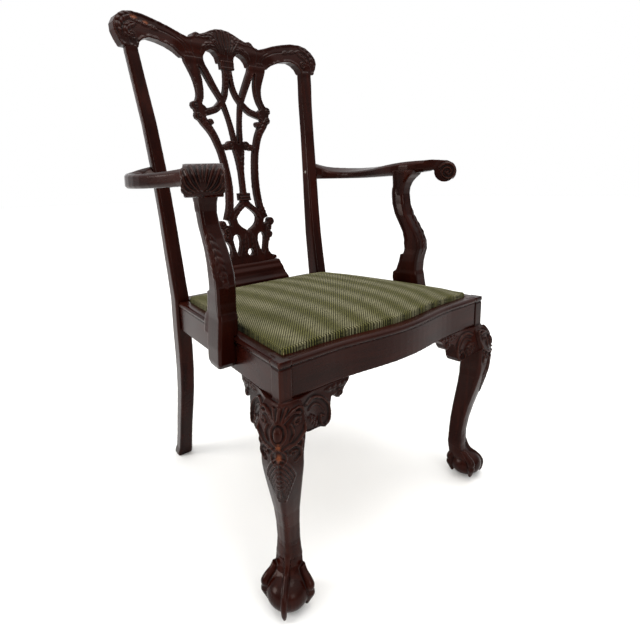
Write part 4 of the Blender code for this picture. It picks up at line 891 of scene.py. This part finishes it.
def seat_cloth(tree):
    """Olive and cream woven check, in soft stripes that run from back to front."""
    check, x = check_of(tree, WEAVE)
    phase = maths(tree, "MULTIPLY", maths(tree, "SUBTRACT", x, DARK_BAND), 2 * math.pi / STRIPE)
    stripe = remap(tree, maths(tree, "COSINE", phase), 0.8, -0.9)
    blotch = noise(tree, 16.0, 3.0)
    wander = noise(tree, (70.0, 260.0, 1.0), 2.0)
    light_thread = remap(tree, maths(tree, "ADD", check, maths(tree, "MULTIPLY", wander, 0.5)), 0.15, 0.60)
    dark = mix(tree, stripe, (0.0065, 0.0070, 0.0018), (0.0130, 0.0120, 0.0045))
    light = mix(tree, stripe, (0.105, 0.098, 0.030), (0.205, 0.190, 0.105))
    colour = mix(tree, remap(tree, blotch, 0.35, 0.70, 0.0, 0.25), mix(tree, light_thread, dark, light),
                 (0.030, 0.029, 0.010))
    fibres = noise(tree, (1500.0, 1500.0, 1500.0), 2.0)
    height = maths(tree, "ADD", check, maths(tree, "MULTIPLY", fibres, 0.6))
    return {"Base Color": colour, "Roughness": remap(tree, wander, 0.3, 0.7, 0.80, 0.95),
            "Sheen Weight": 0.04, "Sheen Roughness": 0.5, "Specular IOR Level": 0.06}, height, 0.6, 0.6


def coarse_cloth(name, low, high, thread):
    """Plain woven jute or hessian."""
    def paint(tree):
        check = check_of(tree, thread * MM)[0]
        mottle = noise(tree, 90.0, 4.0)
        colour = mix(tree, remap(tree, maths(tree, "ADD", check, mottle), -0.2, 1.2), low, high)
        return {"Base Color": colour, "Roughness": remap(tree, mottle, 0.3, 0.7, 0.85, 0.97)}, \
            check, 0.7, 0.5
    return material(name, paint)


def pale_floor(tree):
    colour = ramp(tree, noise(tree, 3.0, 2.0), (0.3, (0.80, 0.80, 0.79)), (0.7, (0.84, 0.84, 0.83)))
    return {"Base Color": colour, "Roughness": 0.9},


WOOD = {grain: mahogany(grain) for grain in GRAIN}
BEECH = material("beech", beech)
STEEL = material("old_steel", old_steel)
CLOTH = material("seat_cloth", seat_cloth)
JUTE = coarse_cloth("jute", (0.20, 0.145, 0.080), (0.42, 0.34, 0.21), 1.6)
HESSIAN = coarse_cloth("hessian", (0.26, 0.21, 0.14), (0.50, 0.43, 0.31), 1.1)


# --- The frame ---------------------------------------------------------------------------------

def carve_frame():
    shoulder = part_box("crest_rail")[0].x + 0.050
    carve("crest_rail", WOOD["sideways"], 1.2, crest_relief, bend=crest_bend,
          worn=[((shoulder, 0.244, 1.020), (9, 30, 5)), ((shoulder + 0.026, 0.244, 1.013), (7, 30, 4))])
    carve("splat", WOOD["upright"], 1.2, splat_relief, rounding=2, bend=splat_bend)
    carve("splat_shoe", WOOD["sideways"], 1.6)
    carve("front_seat_rail", WOOD["sideways"], 1.6, rail_relief, 1, soft=0)
    for _, label in SIDES:
        carve("side_seat_rail_" + label, WOOD["deep"], 1.6, rail_relief, 1, soft=0)
    carve("rear_seat_rail", WOOD["sideways"], 1.6, rounding=1)
    for side, label in SIDES:
        carve("rear_post_" + label, WOOD["upright"], 2.0, bend=post_bend(side))
        arris = ((0.304, 5), (0.286, 6)) if side < 0 else ()
        carve("front_leg_" + label, WOOD["upright"], 1.2, leg_relief(side), 2,
              worn=[((-0.3000, -0.2940, z), (4, 4, reach)) for z, reach in arris],
              bend=leg_bend, rebuild=claw_foot(side), level=ANKLE)
        for start, grain, along_x in (("front", "sideways", True), ("side", "deep", False)):
            carve(start + "_knee_bracket_" + label, WOOD[grain], 1.1, bracket_relief(side, along_x), 2,
                  bend=bracket_bend(side, along_x))
        carve("arm_" + label, WOOD["deep"], 1.3, arm_relief(side), 10)
        carve("arm_support_" + label, WOOD["upright"], 1.3, support_relief(side), 8,
              bend=support_bend(side), rebuild=support_head(side))


def finish_hidden_pieces():
    """Blocks, seat bars and screws keep their CAD shape, with softened edges."""
    for name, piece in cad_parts.items():
        if "screw" in name:
            finish, width = STEEL, 0.3 * MM
        elif "block" in name or name.startswith("seat_frame"):
            finish, width = BEECH, 1.2 * MM
        else:
            continue
        piece.data.materials.clear()
        piece.data.materials.append(finish)
        bevel = piece.modifiers.new("soft edges", "BEVEL")
        bevel.width = width
        bevel.segments = 2
        bevel.limit_method = "ANGLE"


# --- The seat ----------------------------------------------------------------------------------

def puffed(mesh):
    """Cloth simulation of a stuffed pad, with its underside held and its swelling capped."""
    pad = put("pad work", mesh)
    rest = coordinates(mesh)
    held = pad.vertex_groups.new(name="held")
    underside = np.flatnonzero(rest[:, 2] < rest[:, 2].min() + 2 * MM)
    held.add(underside.tolist(), 1.0, "REPLACE")
    cloth = pad.modifiers.new("cloth", "CLOTH")
    settings = cloth.settings
    settings.use_pressure = True
    settings.uniform_pressure_force = PAD_PRESSURE
    settings.vertex_group_mass = "held"
    settings.effector_weights.gravity = 0.0
    settings.quality = 6
    cloth.point_cache.frame_start, cloth.point_cache.frame_end = 1, PAD_FRAMES
    scene = bpy.context.scene
    for step in range(1, PAD_FRAMES + 1):
        scene.frame_set(step)
    moved = coordinates(evaluated(pad)) - rest
    scene.frame_set(1)
    length = np.linalg.norm(moved, axis=1)
    moved *= (np.minimum(length, PAD_CAP) / np.maximum(length, 1e-9))[:, None]
    bpy.data.objects.remove(pad)
    set_coordinates(mesh, rest + moved)
    return mesh


def stuffed_pad():
    """The stuffing, started a little smaller and lower than its CAD solid, then puffed up."""
    mesh = welded("seat_stuffing")
    co = coordinates(mesh)
    low, middle = co.min(0), (co.min(0) + co.max(0)) / 2
    above = co[:, 2] > low[2] + 1 * MM
    co = middle + (co - middle) * (0.985, 0.985, 1.0)
    co[above, 2] -= 4 * MM
    set_coordinates(mesh, co)
    mesh = puffed(even(mesh, PAD_VOXEL))
    smooth(mesh)
    pad = new_piece("seat_pad", mesh, HESSIAN, SEAT_BODY)
    rounder = pad.modifiers.new("rounder", "SUBSURF")
    rounder.levels = rounder.render_levels = 1
    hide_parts("seat_stuffing")
    return pad


def seat_outline():
    """Half widths at the front and the back of the seat, the y of both, and its front line by x."""
    co = coordinates(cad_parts["seat_cover"].data)
    co = co[co[:, 2] < co[:, 2].min() + 1 * MM]
    rear = co[:, 1].max()
    front_corner = co[co[:, 0].argmax()]
    rear_half = co[co[:, 1] > rear - 1 * MM][:, 0].max()
    edge = {}
    for x, y in co[co[:, 1] < front_corner[1] + 14 * MM][:, :2]:
        key = round(float(x), 4)
        edge[key] = min(edge.get(key, 1.0), float(y))
    return front_corner[0], rear_half, front_corner[1], rear, np.array(sorted(edge.items())).T


def box_blur(values, reach, times):
    """Moving average of a grid, both ways, with its edge values held."""
    size = 2 * reach + 1
    for axis in (0, 1) * times:
        first, last = (np.repeat(values.take([end], axis), reach, axis) for end in (0, -1))
        total = np.cumsum(np.insert(np.concatenate([first, values, last], axis), 0, 0, axis), axis)
        count = values.shape[axis]
        values = (total.take(range(size, size + count), axis) - total.take(range(count), axis)) / size
    return values


def cloth_height(pad, x, y, coarse=6):
    """Height of the cloth where it lies on the pad or the CAD cover, whichever is higher.

    It is felt on a coarse grid, a little inside each place so that the seat's edge is met too."""
    graph = bpy.context.evaluated_depsgraph_get()
    solids = [BVHTree.FromObject(under, graph) for under in (pad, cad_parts["seat_cover"])]
    top = np.empty(x[::coarse, ::coarse].shape)
    for index in np.ndindex(top.shape):
        start = Vector((x[::coarse, ::coarse][index] * 0.975, y[::coarse, ::coarse][index] * 0.985, 1.0))
        hits = [solid.ray_cast(start, Vector((0, 0, -1)))[0] for solid in solids]
        top[index] = max([hit.z for hit in hits if hit] + [LOWEST_EDGE])
    top = box_blur(top, 1, 2)
    for count in x.shape[::-1]:
        places = np.arange(count) / coarse
        top = np.stack([np.interp(places, np.arange(len(line)), line) for line in top]).T
    return top


def woven_cover(pad):
    """Woven cloth laid over the pad and turned down inside the rails."""
    bpy.context.view_layer.update()
    half_front, half_rear, y_corner, y_rear, (edge_x, edge_y) = seat_outline()
    across = int((half_front + TURNED) / COVER_PITCH)
    y_low = edge_y.min() - TURNED
    rows = int((y_rear + TURNED - y_low) / COVER_PITCH) + 1
    x, y = np.meshgrid(np.arange(-across, across + 1) * COVER_PITCH, y_low + np.arange(rows) * COVER_PITCH)

    def inside(places):
        """Each y brought inside the seat's front and rear edges, where its x is one of places."""
        return np.clip(y, np.interp(places, edge_x, edge_y) + EDGE_ROUND, y_rear - EDGE_ROUND)

    half = half_front + (half_rear - half_front) * (inside(x) - y_corner) / (y_rear - y_corner) - EDGE_ROUND
    near_x = np.clip(x, -half, half)
    near_y = inside(near_x)
    excess = np.hypot(x - near_x, y - near_y)  # how far past the rounded edge each point lies
    angle = np.minimum(excess / EDGE_ROUND, math.pi / 2)
    drop = EDGE_ROUND * (1 - np.cos(angle)) + np.maximum(excess - EDGE_ROUND * math.pi / 2, 0)
    check = np.sin(np.pi * x / WEAVE) * np.sin(np.pi * y / WEAVE)
    lift = THREAD_LIFT * np.where(check > 0, check, 0.6 * check)
    out = (EDGE_ROUND * np.sin(angle) + lift * (1 - np.cos(angle))) / np.maximum(excess, 1e-9)
    height = cloth_height(pad, near_x, near_y) + COVER_GAP - drop + lift * np.cos(angle)
    spots = np.stack([near_x + (x - near_x) * out, near_y + (y - near_y) * out,
                      np.maximum(height, COVER_LOW)], axis=-1).reshape(-1, 3)
    index = np.arange(x.size).reshape(x.shape)
    first, next_one = slice(None, -1), slice(1, None)
    corners = ((first, first), (first, next_one), (next_one, next_one), (next_one, first))
    whole = np.all([excess[corner] < TURNED for corner in corners], axis=0)
    used, quads = np.unique(np.stack([index[corner] for corner in corners], -1)[whole], return_inverse=True)
    mesh = bpy.data.meshes.new("seat_cover_cloth")
    mesh.from_pydata(spots[used].tolist(), [], quads.reshape(-1, 4).tolist())
    smooth(mesh)
    cover = new_piece("seat_cover_cloth", mesh, CLOTH, SEAT_BODY)
    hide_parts("seat_cover")


def webbing():
    """Jute straps, each passing over and under the ones that cross it."""
    low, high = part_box("seat_webbing")
    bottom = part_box("seat_frame_front")[1].z + 1.0 * MM
    shape = bmesh.new()
    for lengthways, places, others in ((True, STRAP_RUNS, STRAP_CROSSINGS),
                                       (False, STRAP_CROSSINGS, STRAP_RUNS)):
        for number, place in enumerate(places):
            reach = np.interp(place, (low.y, high.y), (high.x, high.x - SEAT_TAPER))
            start, end = (low.y, high.y) if lengthways else (-reach, reach)
            rings = []
            for t in np.linspace(start, end, 91):
                wave = sum((1 if (k + number + lengthways) % 2 else -1) * swell(t, other, 0.020)
                           for k, other in enumerate(others))
                middle = bottom + 0.5 * MM * wave
                edges = place + STRAP_HALF * np.linspace(-1, 1, 5)
                ring = [(edge, t, middle - STRAP_HALF_THICK) for edge in edges]
                ring += [(edge, t, middle + STRAP_HALF_THICK) for edge in edges[::-1]]
                rings.append(ring if lengthways else [(t, edge, z) for edge, t, z in ring])
            skin(shape, rings)
    bmesh.ops.recalc_face_normals(shape, faces=shape.faces)
    mesh = bpy.data.meshes.new("webbing_straps")
    shape.to_mesh(mesh)
    shape.free()
    straps = new_piece("webbing_straps", mesh, JUTE, SEAT_BODY)
    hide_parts("seat_webbing")


# --- The studio ----------------------------------------------------------------------------------

def lamp(name, place, target, size, power):
    light = bpy.data.lights.new(name, "AREA")
    light.shape = "RECTANGLE"
    light.size, light.size_y = size
    light.energy = power
    light.color = (1.0, 0.98, 0.95)
    holder = put(name, light)
    holder.location = place
    holder.rotation_euler = (Vector(target) - Vector(place)).to_track_quat("-Z", "Y").to_euler()


def studio():
    """Pale floor, three soft lamps, and a room that is bright towards the backdrop and overhead."""
    bpy.ops.mesh.primitive_circle_add(vertices=96, radius=14.0, fill_type="NGON")
    floor = bpy.context.object
    floor.name = "floor"
    floor.data.materials.append(material("pale_floor", pale_floor))
    world = bpy.data.worlds.new("studio")
    bpy.context.scene.world = world
    world.use_nodes = True
    tree = world.node_tree
    where = node(tree, "ShaderNodeTexCoord").outputs["Generated"]
    towards = node(tree, "ShaderNodeVectorMath", {0: where, 1: BACKDROP_WAY}, operation="DOT_PRODUCT")
    beside = remap(tree, towards.outputs["Value"], 0.05, 0.45, ROOM_LIGHT, 1.0)
    height = node(tree, "ShaderNodeSeparateXYZ", {"Vector": where}).outputs["Z"]
    above = remap(tree, height, 0.30, 0.80, ROOM_LIGHT, CEILING_LIGHT)
    fill(tree, tree.nodes["Background"], {"Color": (1.0, 1.0, 1.0, 1.0),
                                          "Strength": maths(tree, "MAXIMUM", beside, above)})
    bpy.context.scene.view_settings.view_transform = "Standard"
    lamp("left_window", (-2.4, 1.2, 1.3), (0, 0, 0.5), (1.1, 1.0), 45)
    lamp("top_soft", (0.3, -0.4, 2.8), (0, 0, 0.4), (1.3, 1.3), 30)
    lamp("front_fill", (-0.6, -2.6, 1.2), (0, 0, 0.5), (0.8, 0.8), 14)


def camera():
    data = bpy.data.cameras.new("camera")
    data.sensor_width = 36.0
    data.lens = CAMERA_LENS
    data.shift_x, data.shift_y = CAMERA_SHIFT
    data.clip_start = 0.05
    holder = put("camera", data)
    holder.matrix_world = Matrix.Translation(CAMERA_PLACE)
    for degrees, axis in ((CAMERA_YAW, "Z"), (90 + CAMERA_PITCH, "X"), (CAMERA_ROLL, "Z")):
        holder.matrix_world = holder.matrix_world @ Matrix.Rotation(math.radians(degrees), 4, axis)
    bpy.context.scene.camera = holder


camera()
studio()
carve_frame()
finish_hidden_pieces()
woven_cover(stuffed_pad())
webbing()
